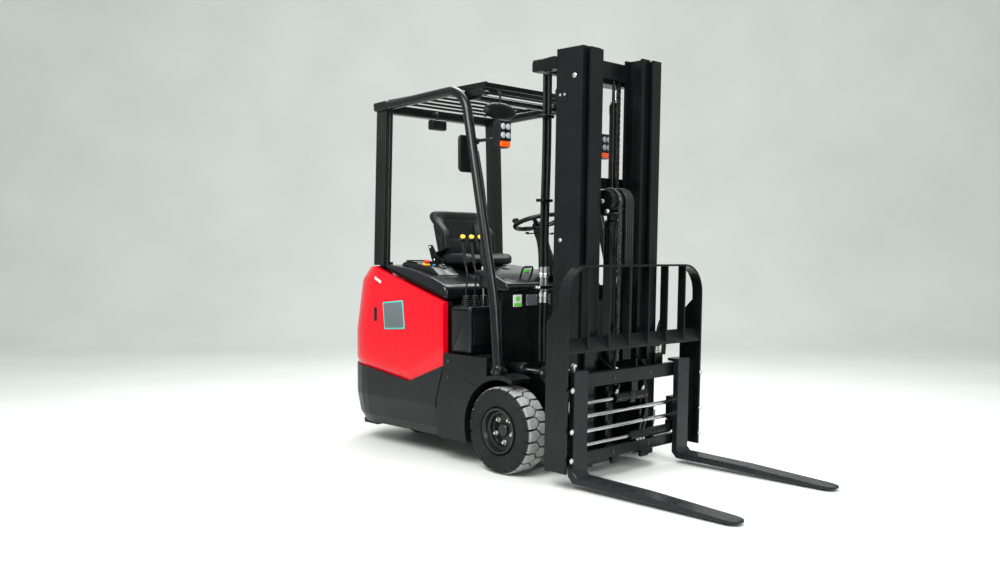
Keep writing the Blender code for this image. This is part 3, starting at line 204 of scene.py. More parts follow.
def seat_skin():
    """Moulded vinyl: leather cells as bump, faint sheen on worn high spots."""
    f = Finish("seat_vinyl_grain", "seat_vinyl", Specular_IOR_Level=0.30)
    pebble = f.cells(420.0)
    worn = f.noise(7.0, 5.0)
    colour = f.mix(f.remap(worn, 0.35, 0.7, 0.0, 1.0), (0.0030, 0.0036, 0.0040), (0.0090, 0.0105, 0.0112))
    return f.coat(colour, f.remap(worn, 0.3, 0.7, 0.42, 0.56), pebble, 0.35, 0.0006)


def tyre_skin():
    """Solid tyre: black in the grooves and on the wall, pale clean dust on
    the lug tops, by the piece's own tread attribute."""
    f = Finish("tyre_rubber_tread", "tyre_rubber", Specular_IOR_Level=0.22)
    tread = f.node("Attribute", "Fac")
    tread.node.attribute_name = "tread"
    soot = f.noise(60.0, 6.0)
    pale = f.mix(f.remap(soot, 0.3, 0.75, 0.0, 1.0), (0.36, 0.38, 0.37), (0.23, 0.245, 0.24))
    wall = f.mix(f.remap(f.noise(9.0, 6.0), 0.3, 0.7, 0.0, 1.0), (0.0045, 0.0048, 0.0050),
            (0.0110, 0.0118, 0.0122))
    colour = f.mix(tread, wall, pale)
    return f.coat(colour, f.remap(soot, 0.3, 0.7, 0.55, 0.78), f.noise(700.0, 4.0), 0.25, 0.0006)


def chain_skin():
    """Oiled chain steel with dark oil in the fine scale."""
    f = Finish("chain_oiled", "chain_steel", 0.85)
    oil = f.noise(120.0, 5.0)
    colour = f.mix(f.remap(oil, 0.35, 0.65, 0.0, 1.0), (0.035, 0.034, 0.032), (0.16, 0.16, 0.155))
    return f.coat(colour, f.remap(oil, 0.3, 0.7, 0.28, 0.5), oil, 0.2)


def braid_skin():
    """Rubber hose with a fine wrapped-cloth cover: two crossed waves."""
    f = Finish("hose_wrapped", "hose_rubber", Specular_IOR_Level=0.28)
    wrap = f.noise(900.0, 2.0, (1.0, 1.0, 0.25))
    colour = f.mix(f.remap(f.noise(12.0), 0.3, 0.7, 0.0, 1.0), (0.004, 0.005, 0.005), (0.010, 0.012, 0.012))
    return f.coat(colour, f.remap(wrap, 0.3, 0.7, 0.34, 0.5), wrap, 0.4, 0.0005)


def lens_skin(name, tint, rough, shine=0.0):
    """Clear or tinted lens with moulded flutes as bump."""
    f = Finish(name, "lamp_lens", 0.0, Roughness=rough)
    flute = f.noise(260.0, 1.0, (1.0, 1.0, 0.1))
    colour = f.mix(f.remap(flute, 0.4, 0.6, 0.0, 1.0), tint, tuple(0.8 * c for c in tint))
    if shine:
        f.shader.inputs["Emission Color"].default_value = (*tint, 1.0)
        f.shader.inputs["Emission Strength"].default_value = shine
    return f.coat(colour, None, flute, 0.3)


BLACK = surface("satin_black_paint", "black_paint", (0.0022, 0.0027, 0.0029), (0.0048, 0.0056, 0.0060),
        (0.22, 0.36), 620.0, 0.05, 0.03)
GUARD = surface("guard_black_paint", "black_paint", (0.0026, 0.0032, 0.0034), (0.0056, 0.0066, 0.0070),
        (0.18, 0.30), 520.0, 0.06, 0.02,
                Specular_IOR_Level=0.32)
CAST = surface("casting_black_paint", "casting_paint", (0.0042, 0.0052, 0.0056), (0.0076, 0.0090, 0.0096),
        (0.30, 0.44), 210.0, 0.12, 0.03)
RED = surface("crimson_gloss_paint", "red_paint", (0.560, 0.0004, 0.0070), (0.640, 0.0008, 0.0110),
        (0.20, 0.30), 60.0, 0.012, 0.004,
              Coat_Weight=0.12, Coat_Roughness=0.08)
MOULD = surface("moulded_black_plastic", "black_plastic", (0.0028, 0.0034, 0.0037),
        (0.0056, 0.0066, 0.0070), (0.28, 0.40), 900.0, 0.12, 0.03)
GLOSS = surface("glossy_black_plastic", "black_plastic", (0.0024, 0.0032, 0.0036), (0.0050, 0.0062, 0.0068),
        (0.14, 0.24), 420.0, 0.03, 0.02,
                Specular_IOR_Level=0.38)
RIM = surface("rim_black_paint", "rim_paint", (0.0026, 0.0030, 0.0032), (0.0056, 0.0062, 0.0066),
        (0.18, 0.32), 480.0, 0.06,
              Specular_IOR_Level=0.36)
CHROME = surface("ground_chrome", "rod_chrome", (0.52, 0.53, 0.54), (0.66, 0.67, 0.68), (0.10, 0.20), 700.0,
        0.05, 0.0, 1.0, (1.0, 8.0, 8.0))
ZINC = surface("zinc_plate", None, (0.50, 0.50, 0.49), (0.68, 0.68, 0.66), (0.24, 0.40), 500.0, 0.14, 0.0,
        0.9)
FORK = surface("fork_dark_paint", "fork_paint", (0.0040, 0.0052, 0.0056), (0.0095, 0.0118, 0.0126),
        (0.22, 0.38), 260.0, 0.09, 0.05)
STEEL = surface("worn_dark_steel", None, (0.030, 0.031, 0.032), (0.075, 0.076, 0.078), (0.28, 0.46), 300.0,
        0.14, 0.05, 0.7)
CASE = surface("battery_case_paint", "battery_case", (0.07, 0.078, 0.085), (0.11, 0.12, 0.13), (0.45, 0.6),
        300.0, 0.1)
AMBER = lens_skin("amber_lens", (0.80, 0.085, 0.006), 0.18, 0.15)
CLEAR = lens_skin("clear_lens", (0.34, 0.37, 0.39), 0.12, 0.02)
RED_LENS = lens_skin("red_lens", (0.45, 0.01, 0.008), 0.2)
GLASS = surface("mirror_glass", None, (0.60, 0.63, 0.65), (0.70, 0.72, 0.74), (0.03, 0.06), 6.0, 0.01, 0.0,
        1.0)
YELLOW = surface("yellow_knob_plastic", None, (0.80, 0.42, 0.008), (0.88, 0.50, 0.015), (0.32, 0.44), 500.0,
        0.06)
SIGNAL = surface("red_button_plastic", None, (0.50, 0.018, 0.016), (0.60, 0.030, 0.022), (0.30, 0.42),
        500.0, 0.06)
BLUE = surface("blue_plastic", None, (0.006, 0.15, 0.32), (0.010, 0.20, 0.40), (0.35, 0.45), 500.0, 0.06)
GREEN = surface("green_label", None, (0.05, 0.42, 0.03), (0.10, 0.62, 0.04), (0.35, 0.5), 300.0, 0.04)
PALE = surface("pale_label_film", None, (0.52, 0.54, 0.53), (0.62, 0.64, 0.62), (0.30, 0.45), 300.0, 0.03)
SLATE = surface("slate_label_film", None, (0.085, 0.100, 0.105), (0.120, 0.138, 0.145), (0.28, 0.42), 300.0,
        0.04)
TEAL = surface("teal_label_film", None, (0.02, 0.46, 0.43), (0.03, 0.55, 0.50), (0.30, 0.42), 300.0, 0.04)
VINYL, RUBBER, CHAIN, HOSE = seat_skin(), tyre_skin(), chain_skin(), braid_skin()


# ---------------------------------------------------------------- shapes

def quads(rows, columns, loop_rows=False, loop_columns=True, base=0):
    """Four-sided faces of a grid of points, wrapped round either way."""
    i = np.arange(rows if loop_rows else rows - 1)[:, None]
    j = np.arange(columns if loop_columns else columns - 1)[None, :]
    up, on = (i + 1) % rows, (j + 1) % columns
    corners = np.broadcast_arrays(i * columns + j, i * columns + on, up * columns + on, up * columns + j)
    return (np.stack(corners, -1).reshape(-1, 4) + base).tolist()


def put(name, points, faces, finish, body, stands=(), sharp=36, tread=None):
    """A finished piece: its points welded, its faces turned out, its creases
    kept past the sharp angle, riding on a body and standing for CAD nodes."""
    mesh = bpy.data.meshes.new(name)
    mesh.from_pydata(np.asarray(points, float).reshape(-1, 3).tolist(), [], faces)
    if tread is not None:
        mesh.attributes.new("tread", "FLOAT", "POINT").data.foreach_set("value",
                np.ravel(tread).astype(np.float32))
    bm = bmesh.new()
    bm.from_mesh(mesh)
    bmesh.ops.remove_doubles(bm, verts=bm.verts, dist=0.00002)
    bmesh.ops.dissolve_degenerate(bm, dist=0.000001, edges=bm.edges)
    bmesh.ops.recalc_face_normals(bm, faces=bm.faces)
    bm.to_mesh(mesh)
    bm.free()
    mesh.shade_smooth()
    mesh.set_sharp_from_angle(angle=math.radians(sharp))
    mesh.materials.append(finish.mat)
    piece = bpy.data.objects.new(name, mesh)
    bpy.context.scene.collection.objects.link(piece)
    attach(piece, body)
    if stands:
        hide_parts(*stands)
    return piece


def gather(shapes):
    """Several (points, faces) shapes as one list of points and faces."""
    points, faces, base = [], [], 0
    for some, theirs in shapes:
        some = np.asarray(some, float).reshape(-1, 3)
        points.append(some)
        faces += [[k + base for k in face] for face in theirs]
        base += len(some)
    return np.vstack(points), faces


def skin(rings, loop=False):
    """Rings of equal count joined along their length, with flat end caps."""
    rings = np.asarray(rings, float)
    rows, columns = rings.shape[:2]
    faces = quads(rows, columns, loop)
    if not loop:
        faces += [list(range(columns)), list(range((rows - 1) * columns, rows * columns))]
    return rings, faces


def shell(outer, inner):
    """A closed wall between two grids of the same shape: both faces, and the
    strip that joins their borders."""
    outer, inner = np.asarray(outer, float), np.asarray(inner, float)
    rows, columns = outer.shape[:2]
    count = rows * columns
    faces = quads(rows, columns, loop_columns=False) + quads(rows, columns, loop_columns=False, base=count)
    number = np.arange(count).reshape(rows, columns)
    border = np.concatenate((number[0], number[1:, -1], number[-1, -2::-1], number[-2:0:-1, 0]))
    after = np.roll(border, -1)
    faces += np.stack((border, after, after + count, border + count), -1).tolist()
    return np.vstack((outer.reshape(-1, 3), inner.reshape(-1, 3))), faces


def flow(points, count=40):
    """Catmull-Rom curve: the cubic through each pair of points whose slopes
    are half the step between their neighbours."""
    p = np.asarray(points, float)
    p = np.vstack((2 * p[0] - p[1], p, 2 * p[-1] - p[-2]))
    t = np.linspace(0, len(p) - 3, count)
    i = np.minimum(t.astype(int), len(p) - 4)
    u = (t - i)[:, None]
    a, b, c, d = (p[i + k] for k in range(4))
    squared, cubed = 2 * a - 5 * b + 4 * c - d, 3 * b - a - 3 * c + d
    return 0.5 * (2 * b + (c - a) * u + squared * u ** 2 + cubed * u ** 3)


def bent(points, radii, steps=10):
    """A line whose corners are round: the unit directions to either side of
    each corner swept evenly into each other, at that corner's radius."""
    p = np.asarray(points, float)
    pieces = [p[:1]]
    for before, corner, after, radius in zip(p, p[1:], p[2:], radii):
        a, b = (before - corner), (after - corner)
        a, b = a / np.linalg.norm(a), b / np.linalg.norm(b)
        half = math.acos(float(np.clip(a @ b, -1, 1))) / 2
        middle = (a + b) / np.linalg.norm(a + b)
        centre = corner + middle * radius / math.sin(half)
        reach = radius / math.tan(half)
        start, end = corner + a * reach - centre, corner + b * reach - centre
        swing = math.pi - 2 * half
        t = np.linspace(0, 1, steps + 1)[:, None]
        pieces.append(centre + (np.sin((1 - t) * swing) * start + np.sin(t * swing) * end) / math.sin(swing))
    pieces.append(p[-1:])
    return np.vstack(pieces)


def around(path, radius, sides=16):
    """Rings round a path: centre plus radius times cos and sin of the ring
    angle, along the normal of the path's own plane and square to it."""
    path = np.asarray(path, float)
    step = np.gradient(path, axis=0)
    step /= np.linalg.norm(step, axis=1)[:, None]
    normal = np.linalg.svd(path - path.mean(0))[2][2]
    side = np.cross(step, normal)
    side /= np.linalg.norm(side, axis=1)[:, None]
    normal = np.cross(side, step)
    a = np.linspace(0, TAU, sides, endpoint=False)
    r = np.broadcast_to(np.asarray(radius, float), len(path))[:, None, None]
    return path[:, None] + r * (np.cos(a)[None, :, None] * side[:, None] + np.sin(a)[None, :,
            None] * normal[:, None])


def tube(path, radius, sides=16):
    """A round bar or hose along a path."""
    return skin(around(path, radius, sides))


def lathe(profile, centre, axis=(1, 0, 0), sides=48):
    """A profile of (distance along, radius) pairs turned about an axis."""
    profile = np.asarray(profile, float)
    axis = np.asarray(axis, float) / np.linalg.norm(axis)
    one = np.cross(axis, (0.0, 0.0, 1.0) if abs(axis[2]) < 0.9 else (0.0, 1.0, 0.0))
    one /= np.linalg.norm(one)
    two = np.cross(axis, one)
    a = np.linspace(0, TAU, sides, endpoint=False)
    wheel = np.cos(a)[:, None] * one + np.sin(a)[:, None] * two
    rings = np.asarray(centre, float) + profile[:, :1, None] * axis + profile[:, 1:, None] * wheel
    return skin(rings)


def soft_block(low, high, radius, fine=5, span=8):
    """A block with round edges: points on a box's faces, held to its core and
    pushed out from there by the radius, spaced by the tangent of the angle."""
    low, high = np.asarray(low, float), np.asarray(high, float)
    middle, half = (low + high) / 2, (high - low) / 2
    core = half - radius
    bend = radius * np.tan(np.linspace(math.pi / 4, 0, fine))
    sets = [np.concatenate((-(c + bend), np.linspace(-c, c, span)[1:-1], (c + bend)[::-1])) for c in core]
    shapes = []
    for axis in range(3):
        one, two = (axis + 1) % 3, (axis + 2) % 3
        for sign in (-1, 1):
            face = np.zeros((len(sets[one]), len(sets[two]), 3))
            face[..., one] = sets[one][:, None]
            face[..., two] = sets[two][None, :]
            face[..., axis] = sign * half[axis]
            inner = np.clip(face, -core, core)
            out = face - inner
            out /= np.linalg.norm(out, axis=-1)[..., None]
            shapes.append((inner + radius * out + middle, quads(len(sets[one]), len(sets[two]),
                    loop_columns=False)))
    return gather(shapes)


def ease(value, low, high):
    """Smooth step: 3t^2 - 2t^3 of the share of the way from low to high."""
    t = np.clip((value - low) / (high - low), 0, 1)
    return t * t * (3 - 2 * t)


def bolts(spots, axis, size=0.009, tall=0.007):
    """Hexagon heads on round washers. The head's radius follows the cosine
    of the angle from its nearest flat, so twelve points give six corners."""
    a = np.arange(12) * TAU / 12
    hexagon = math.cos(math.pi / 6) / np.cos(np.mod(a, TAU / 6) - TAU / 12)
    rings = [(0, 1.45, 0), (0.22, 1.45, 0), (0.22, 1.0, 1), (0.85, 1.0, 1), (1.0, 0.86, 1), (1.0, 0.01, 0)]
    axis = np.asarray(axis, float) / np.linalg.norm(axis)
    one = np.cross(axis, (0.0, 0.0, 1.0) if abs(axis[2]) < 0.9 else (0.0, 1.0, 0.0))
    one /= np.linalg.norm(one)
    two = np.cross(axis, one)
    head = np.stack([t * tall * axis + size * r * (hexagon if h else np.ones(12))[:, None]
                     * (np.cos(a)[:, None] * one + np.sin(a)[:, None] * two) for t, r, h in rings])
    return gather([skin(head + np.asarray(spot, float)) for spot in spots])


def make(name, shapes, finish, body, where=here, **more):
    """One piece from one or several shapes."""
    if isinstance(shapes, tuple):
        shapes = [shapes]
    points, faces = gather(shapes)
    return put(name, where(points), faces, finish, body, **more)


def dress(nodes, finish):
    """A finish on CAD nodes whose shape stays."""
    for node in nodes.split():
        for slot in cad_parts[node].material_slots:
            slot.material = finish.mat


dress("chassis mast_outer_stage mast_middle_stage mast_inner_stage free_lift_crosshead "
      "carriage load_backrest guard_grille", BLACK)
dress("counterweight drive_axle rear_steer_turret", CAST)
dress("right_side_panel left_side_panel", RED)
dress("dashboard lever_cowl battery_deck side_console steering_column steering_wheel "
      "hydraulic_levers right_mirror left_mirror panoramic_mirror", MOULD)
dress("seat_cushion seat_back", VINYL)
dress("front_right_tyre front_left_tyre rear_right_tyre rear_left_tyre", RUBBER)
dress("front_right_rim front_left_rim rear_wheel_hub", RIM)
dress("right_tilt_rod left_tilt_rod right_lift_rod left_lift_rod fork_guide_rods right_positioner_rod",
        CHROME)
dress("overhead_guard", GUARD)
dress("right_fork left_fork", FORK)
dress("free_lift_chain", CHAIN)
dress("mast_hoses carriage_hoses", HOSE)
dress("right_work_lamp left_work_lamp rear_spot_lamp", CLEAR)
dress("battery", CASE)
dress("right_lift_barrel left_lift_barrel free_lift_barrel right_positioner_barrel "
      "left_positioner_barrel right_tilt_barrel left_tilt_barrel", BLACK)


# ---------------------------------------------------------------- wheels

def tread_tyre(name, node, radius, width, bead, body, side, pitches=22, steps=704):
    """A cushion tyre: its section turned about the axle, pushed in by the
    groove depth. Grooves run in from each shoulder, half a pitch apart, and
    meet a zigzag round the middle; a groove is a smooth step of the distance
    to the nearest of those lines."""
    low, high = (np.array(c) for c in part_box(node))
    centre = (low + high) / 2
    half = width / 2
    section = np.array([(-half + 0.012, bead), (-half + 0.004, bead + 0.010),
            (-half + 0.0045, bead + 0.018), (-half, bead + 0.024),
                        (-half, radius - 0.050), (-half + 0.0035, radius - 0.046),
                                (-half + 0.0035, radius - 0.040),
                        (-half + 0.001, radius - 0.036), (-half + 0.006, radius - 0.016),
                                (-half + 0.012, radius - 0.006),
                        (-half + 0.024, radius - 0.0005), (0.0, radius)])
    section = np.vstack((section, section[-2::-1] * (-1, 1)))
    length = np.concatenate(([0], np.cumsum(np.hypot(*np.diff(section, axis=0).T))))
    even = np.linspace(0, length[-1], 76)
    x, r = (np.interp(even, length, section[:, k]) for k in (0, 1))
    x, r = x[None, :], r[None, :]
    a = np.linspace(0, TAU, steps, endpoint=False)[:, None]
    turn = a / TAU * pitches
    pitch = TAU * radius / pitches
    swing = 0.014 * half / (FRONT_WIDTH / 2)
    zigzag = swing * (4 * np.abs(np.mod(turn, 1) - 0.5) - 1)
    left = np.abs(np.mod(turn + 0.10 * (x + swing) / half + 0.5, 1) - 0.5) * pitch
    right = np.abs(np.mod(turn - 0.10 * (x - swing) / half, 1) - 0.5) * pitch
    across = np.where(x < -zigzag, left, right)
    narrow = 0.0028 + 0.0030 * ease(np.abs(x), 0.3 * half, half)
    round_middle = np.abs(x + zigzag) * 0.8
    cut = np.maximum(1 - ease(across, narrow, narrow + 0.0022), 1 - ease(round_middle, 0.0022, 0.0046))
    on_tread = ease(r, radius - 0.034, radius - 0.020)
    cut = cut * on_tread
    r = r - GROOVE_DEPTH * cut
    pale = (1 - ease(cut, 0.05, 0.6)) * ease(r, radius - 0.0085, radius - 0.0035) * np.ones_like(a)
    points = np.stack((np.broadcast_to(x * side, r.shape), r * np.cos(a), r * np.sin(a)), -1) + centre
    inner = np.stack((np.broadcast_to(x * side, r.shape), np.full(r.shape, bead) * np.cos(a),
            np.full(r.shape, bead) * np.sin(a)), -1) + centre
    rows, columns = points.shape[:2]
    faces = quads(rows, columns, True, False) + quads(rows, columns, True, False, base=rows * columns)
    put(name, np.vstack((points.reshape(-1, 3), inner.reshape(-1, 3))), faces, RUBBER, body, stands=(node,),
            sharp=50,
        tread=np.concatenate((pale.ravel(), np.zeros(rows * columns))))


def dished_rim(name, node, body, side):
    """Wheel disc turned from its section, with five nuts, a hub cap and the
    bead ring; side is the way its face looks."""
    low, high = (np.array(c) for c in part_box(node))
    centre = (low + high) / 2
    lip = float(high[0] - low[0]) / 2
    edge = float(high[2] - low[2]) / 2
    section = [(lip - 0.036, 0.0), (lip - 0.036, 0.030), (lip - 0.039, 0.0335), (lip - 0.050, 0.034),
            (lip - 0.052, 0.040), (lip - 0.052, 0.078),
               (lip - 0.049, 0.083), (lip - 0.034, 0.0865), (lip - 0.028, 0.090), (lip - 0.024, 0.098),
                       (lip - 0.006, 0.104), (lip - 0.001, 0.1075),
               (lip, 0.111), (lip, edge - 0.003), (lip - 0.003, edge), (-lip + 0.003, edge),
                       (-lip, edge - 0.004), (-lip, 0.106),
               (-lip + 0.030, 0.098), (-lip + 0.036, 0.0)]
    axis = (side, 0, 0)
    put(name, *lathe(section, centre, axis, 72), RIM, body, stands=(node,), sharp=28)
    angle = np.arange(5) * TAU / 5 - 1.62
    spots = centre + np.stack((np.full(5, side * (lip - 0.052)), NUT_CIRCLE * np.cos(angle),
            NUT_CIRCLE * np.sin(angle)), -1)
    put(name + "_nuts", *bolts(spots, axis, 0.0088, 0.018), ZINC, body)
    ring = np.linspace(0, TAU, 72, endpoint=False)
    path = centre + np.stack((np.full(72, side * (lip - 0.0285)), 0.0865 * np.cos(ring),
            0.0865 * np.sin(ring)), -1)
    wire = path[:, None] + 0.0016 * (np.cos(ring[::9])[None, :, None] * np.array((1.0, 0, 0))
                                    + np.sin(ring[::9])[None, :,
                                            None] * ((path - centre - (side * (lip - 0.0285), 0,
                                            0)) / 0.0865)[:, None])
    put(name + "_lock_ring", *skin(wire, True), STEEL, body)


for word, side in SIDES:
    body = f"front_{word}_wheel"
    tread_tyre(f"front_{word}_tread_tyre", f"front_{word}_tyre", TYRE_R, FRONT_WIDTH, FRONT_BEAD, body,
            side)
    dished_rim(f"front_{word}_dished_rim", f"front_{word}_rim", body, side)
    tread_tyre(f"rear_{word}_tread_tyre", f"rear_{word}_tyre", REAR_TYRE_R, REAR_WIDTH, REAR_BEAD,
            "rear_wheels", side, 20, 480)


# ---------------------------------------------------------------- camera, light and floor

def studio():
    """Pale floor that curves up into a backdrop, three soft lights and the
    camera."""
    floor = Finish("studio_floor", None, 0.0, Roughness=0.55)
    cloud = floor.noise(0.9, 5.0)
    floor.coat(floor.mix(floor.remap(cloud, 0.3, 0.7, 0.0, 1.0), (0.70, 0.72, 0.70), (0.76, 0.78, 0.76)),
            None, floor.noise(40.0, 6.0), 0.02)
    reach = np.linspace(-14, 14, 3)
    run = np.concatenate((np.linspace(-12, 6, 10), 6 + 3 * np.sin(np.linspace(0, math.pi / 2, 14))[1:],
            [9.0]))
    rise = np.concatenate((np.zeros(10), 3 - 3 * np.cos(np.linspace(0, math.pi / 2, 14))[1:], [12.0]))
    turn = math.radians(-44)
    c, s = math.cos(turn), math.sin(turn)
    grid = np.stack(np.broadcast_arrays(c * reach[None, :] - s * run[:, None],
            s * reach[None, :] + c * run[:, None], rise[:, None]), -1)
    mesh = bpy.data.meshes.new("studio_floor")
    mesh.from_pydata(grid.reshape(-1, 3).tolist(), [], quads(*grid.shape[:2], loop_columns=False))
    mesh.shade_smooth()
    mesh.materials.append(floor.mat)
    ground = bpy.data.objects.new("studio_floor", mesh)
    bpy.context.scene.collection.objects.link(ground)
    for name, place, aim, size, power in (("key", (-4.2, -1.2, 4.6), (0.0, 0.0, 0.9), 3.2, 430),
            ("front", (-1.2, -5.4, 2.6), (0.0, -0.4, 0.9), 3.0, 170),
                                          ("top", (1.4, 1.0, 5.0), (0.0, 0.2, 0.8), 3.5, 300)):
        light = bpy.data.lights.new(name, "AREA")
        light.energy, light.size = power, size
        lamp = bpy.data.objects.new(name, light)
        lamp.location = place
        way = np.array(aim) - np.array(place)
        lamp.rotation_euler = (math.atan2(math.hypot(way[0], way[1]), -way[2]), 0.0,
                math.atan2(way[1], way[0]) - math.pi / 2)
        bpy.context.scene.collection.objects.link(lamp)
    world = bpy.data.worlds.new("studio")
    world.use_nodes = True
    world.node_tree.nodes["Background"].inputs["Color"].default_value = (0.90, 0.95, 0.93, 1.0)
    world.node_tree.nodes["Background"].inputs["Strength"].default_value = 0.62
    bpy.context.scene.world = world
    eye = bpy.data.cameras.new("eye")
    eye.lens, eye.sensor_width = 34.165, 36.0
    camera = bpy.data.objects.new("eye", eye)
    camera.location = (-3.9264, -3.5337 + AXLE_Y, 1.1371)
    camera.rotation_euler = (math.radians(90 - 1.6187), 0.0, math.radians(-43.9975))
    bpy.context.scene.collection.objects.link(camera)
    bpy.context.scene.camera = camera
    bpy.context.scene.view_settings.view_transform = "Standard"


studio()


# ---------------------------------------------------------------- rounded bodies

def fillet(outline, radius, steps=5):
    """A closed outline with each corner swept round: an arc between the two
    points a cut length away from the corner, blended as a square curve."""
    p = np.asarray(outline, float)
    before, after = np.roll(p, 1, 0) - p, np.roll(p, -1, 0) - p
    reach = [np.linalg.norm(v, axis=1)[:, None] for v in (before, after)]
    cut = [np.minimum(radius, 0.45 * r) for r in reach]
    start, end = p + before / reach[0] * cut[0], p + after / reach[1] * cut[1]
    t = np.linspace(0, 1, steps + 1)[None, :, None]
    return ((1 - t) ** 2 * start[:, None] + 2 * t * (1 - t) * p[:, None] + t ** 2 * end[:,
            None]).reshape(-1, 2)


def inset(outline, depth):
    """An outline moved inward along the mean of its edge normals."""
    step = np.roll(outline, -1, 0) - np.roll(outline, 1, 0)
    normal = np.column_stack((-step[:, 1], step[:, 0])) / (np.linalg.norm(step, axis=1)[:, None] + 1e-9)
    x, y = outline.T
    sign = 1.0 if np.sum(x * np.roll(y, -1) - y * np.roll(x, -1)) > 0 else -1.0
    return outline + sign * depth * normal


def plump(outline, low, high, radius=0.006, corner=0.010, plane="YZ", steps=4):
    """An outline given thickness with round ends: near each end the outline
    is drawn in by radius times one less the sine of a quarter turn."""
    base = fillet(outline, corner)
    a = np.linspace(0, math.pi / 2, steps + 1)
    levels = np.concatenate((low + radius * (1 - np.cos(a)), high - radius * (1 - np.cos(a[::-1]))))
    depths = radius * (1 - np.sin(np.concatenate((a, a[::-1]))))
    order = {"YZ": (2, 0, 1), "XZ": (0, 2, 1), "XY": (0, 1, 2)}[plane]
    rings = [np.column_stack((inset(base, depth), np.full(len(base), level)))[:, order] for level,
            depth in zip(levels, depths)]
    return skin(rings)


def oblong(low, high):
    """Corners of a rectangle in a plane."""
    return [(low[0], low[1]), (high[0], low[1]), (high[0], high[1]), (low[0], high[1])]


def cushion(half, power, shape, rows=56, columns=96):
    """A pad as rings along its second axis: a superellipse section whose size
    follows (1 - |t|^p)^(1/p) along its length, then a shaping of its points."""
    t = np.sin(np.linspace(-math.pi / 2, math.pi / 2, rows))
    size = np.maximum(1 - np.abs(t) ** power[1], 0.0) ** (1 / power[1]) * 0.985 + 0.015
    a = np.linspace(0, TAU, columns, endpoint=False)
    c, s = np.cos(a), np.sin(a)
    e = 2 / power[0]
    ring_x, ring_z = np.sign(c) * np.abs(c) ** e, np.sign(s) * np.abs(s) ** e
    x = half[0] * (0.35 + 0.65 * size)[:, None] * ring_x[None, :]
    z = half[2] * size[:, None] * ring_z[None, :]
    y = half[1] * t[:, None] + 0 * x
    return skin(shape(np.stack((x, y, z), -1)))


# ---------------------------------------------------------------- seat and hood

def seat_base(p):
    """Seat pad: side rolls rise, a dip down the middle, a rolled front edge
    and two stitched valleys where the roll meets the pad."""
    x, y, z = p[..., 0], p[..., 1], p[..., 2]
    top = ease(z, -0.012, 0.026)
    roll = ease(np.abs(x), 0.112, 0.165)
    lift = 0.006 * roll - 0.010 * (1 - ease(np.abs(x), 0.0, 0.14)) * np.cos(y * 9) ** 2
    stitch = 0.0055 * np.exp(-((np.abs(x) - 0.128) / 0.0045) ** 2)
    stitch = stitch + 0.004 * np.exp(-((y + 0.035) / 0.004) ** 2) * (1 - roll)
    drop = 0.012 * ease(-y, 0.085, 0.131)
    return np.stack((x, y, z + top * (lift - stitch - drop)), -1) + (0.0, 0.731, 1.1135)


def seat_rest(p):
    """Backrest: it wraps forward at the sides into two bolsters, narrows to
    the top, and has a pressed oval in each bolster and two cross seams."""
    x, y, z = p[..., 0], p[..., 2], p[..., 1]
    high = (z + 0.157) / 0.314
    front = ease(-y, -0.006, 0.030)
    side = ease(np.abs(x), 0.112, 0.176)
    reach = 0.112 * ease(high, 0.10, 0.30) * (1 - ease(high, 0.52, 0.93))
    taper = 1.03 - 0.045 * ease(high, 0.62, 1.0) - 0.05 * ease(-high, -0.22, 0.0)
    oval = 0.0095 * (1 - ease(((np.abs(x) - 0.176) / 0.022) ** 2 + ((high - 0.46) / 0.20) ** 2, 0.55, 1.0))
    seams = 0.0065 * sum(np.exp(-((high - at) / 0.011) ** 2) for at in (0.49, 0.86)) * (1 - side)
    edge = 0.006 * np.exp(-((np.abs(x) - 0.118) / 0.0048) ** 2) * ease(high, 0.05, 0.2)
    lumbar = 0.010 * np.exp(-((high - 0.30) / 0.16) ** 2) * (1 - side)
    y = y - reach * side + front * (oval + seams + edge - lumbar)
    return np.stack((x * taper, y + 0.914 + 0.020 * high, z + 1.2515), -1)


def seat():
    """Vinyl bucket seat with its shell, rails and side plate."""
    pad = make("seat_pad", cushion((0.204, 0.131, 0.0345), (5.0, 4.2, 0), seat_base), VINYL, "deck",
            stands=("seat_cushion",), sharp=70)
    rest = make("seat_backrest", cushion((0.204, 0.159, 0.041), (4.2, 7.0, 0), seat_rest), VINYL, "deck",
            stands=("seat_back",), sharp=70)
    rails = [plump(oblong((0.62, 1.070), (0.90, 1.080)), x - 0.012, x + 0.012, 0.003, 0.004)
            for x in (-0.13, 0.13)]
    rails.append(plump([(0.845, 1.076), (0.905, 1.076), (0.975, 1.33), (0.962, 1.34), (0.935, 1.30)],
            -0.150, 0.150, 0.006, 0.010))
    rails += [plump([(0.80, 1.085), (0.90, 1.085), (0.945, 1.20), (0.915, 1.205), (0.865, 1.135),
            (0.80, 1.115)], s * 0.207 - 0.008, s * 0.207 + 0.008, 0.004, 0.012) for s in (-1, 1)]
    make("seat_shell", rails, MOULD, "deck")
    pivots = [(s * 0.215, y, z) for s in (-1, 1) for y, z in ((0.885, 1.112), (0.925, 1.188))]
    make("seat_pivot_bolts", [bolts([p], (np.sign(p[0]), 0, 0), 0.006, 0.004) for p in pivots], ZINC,
            "deck")


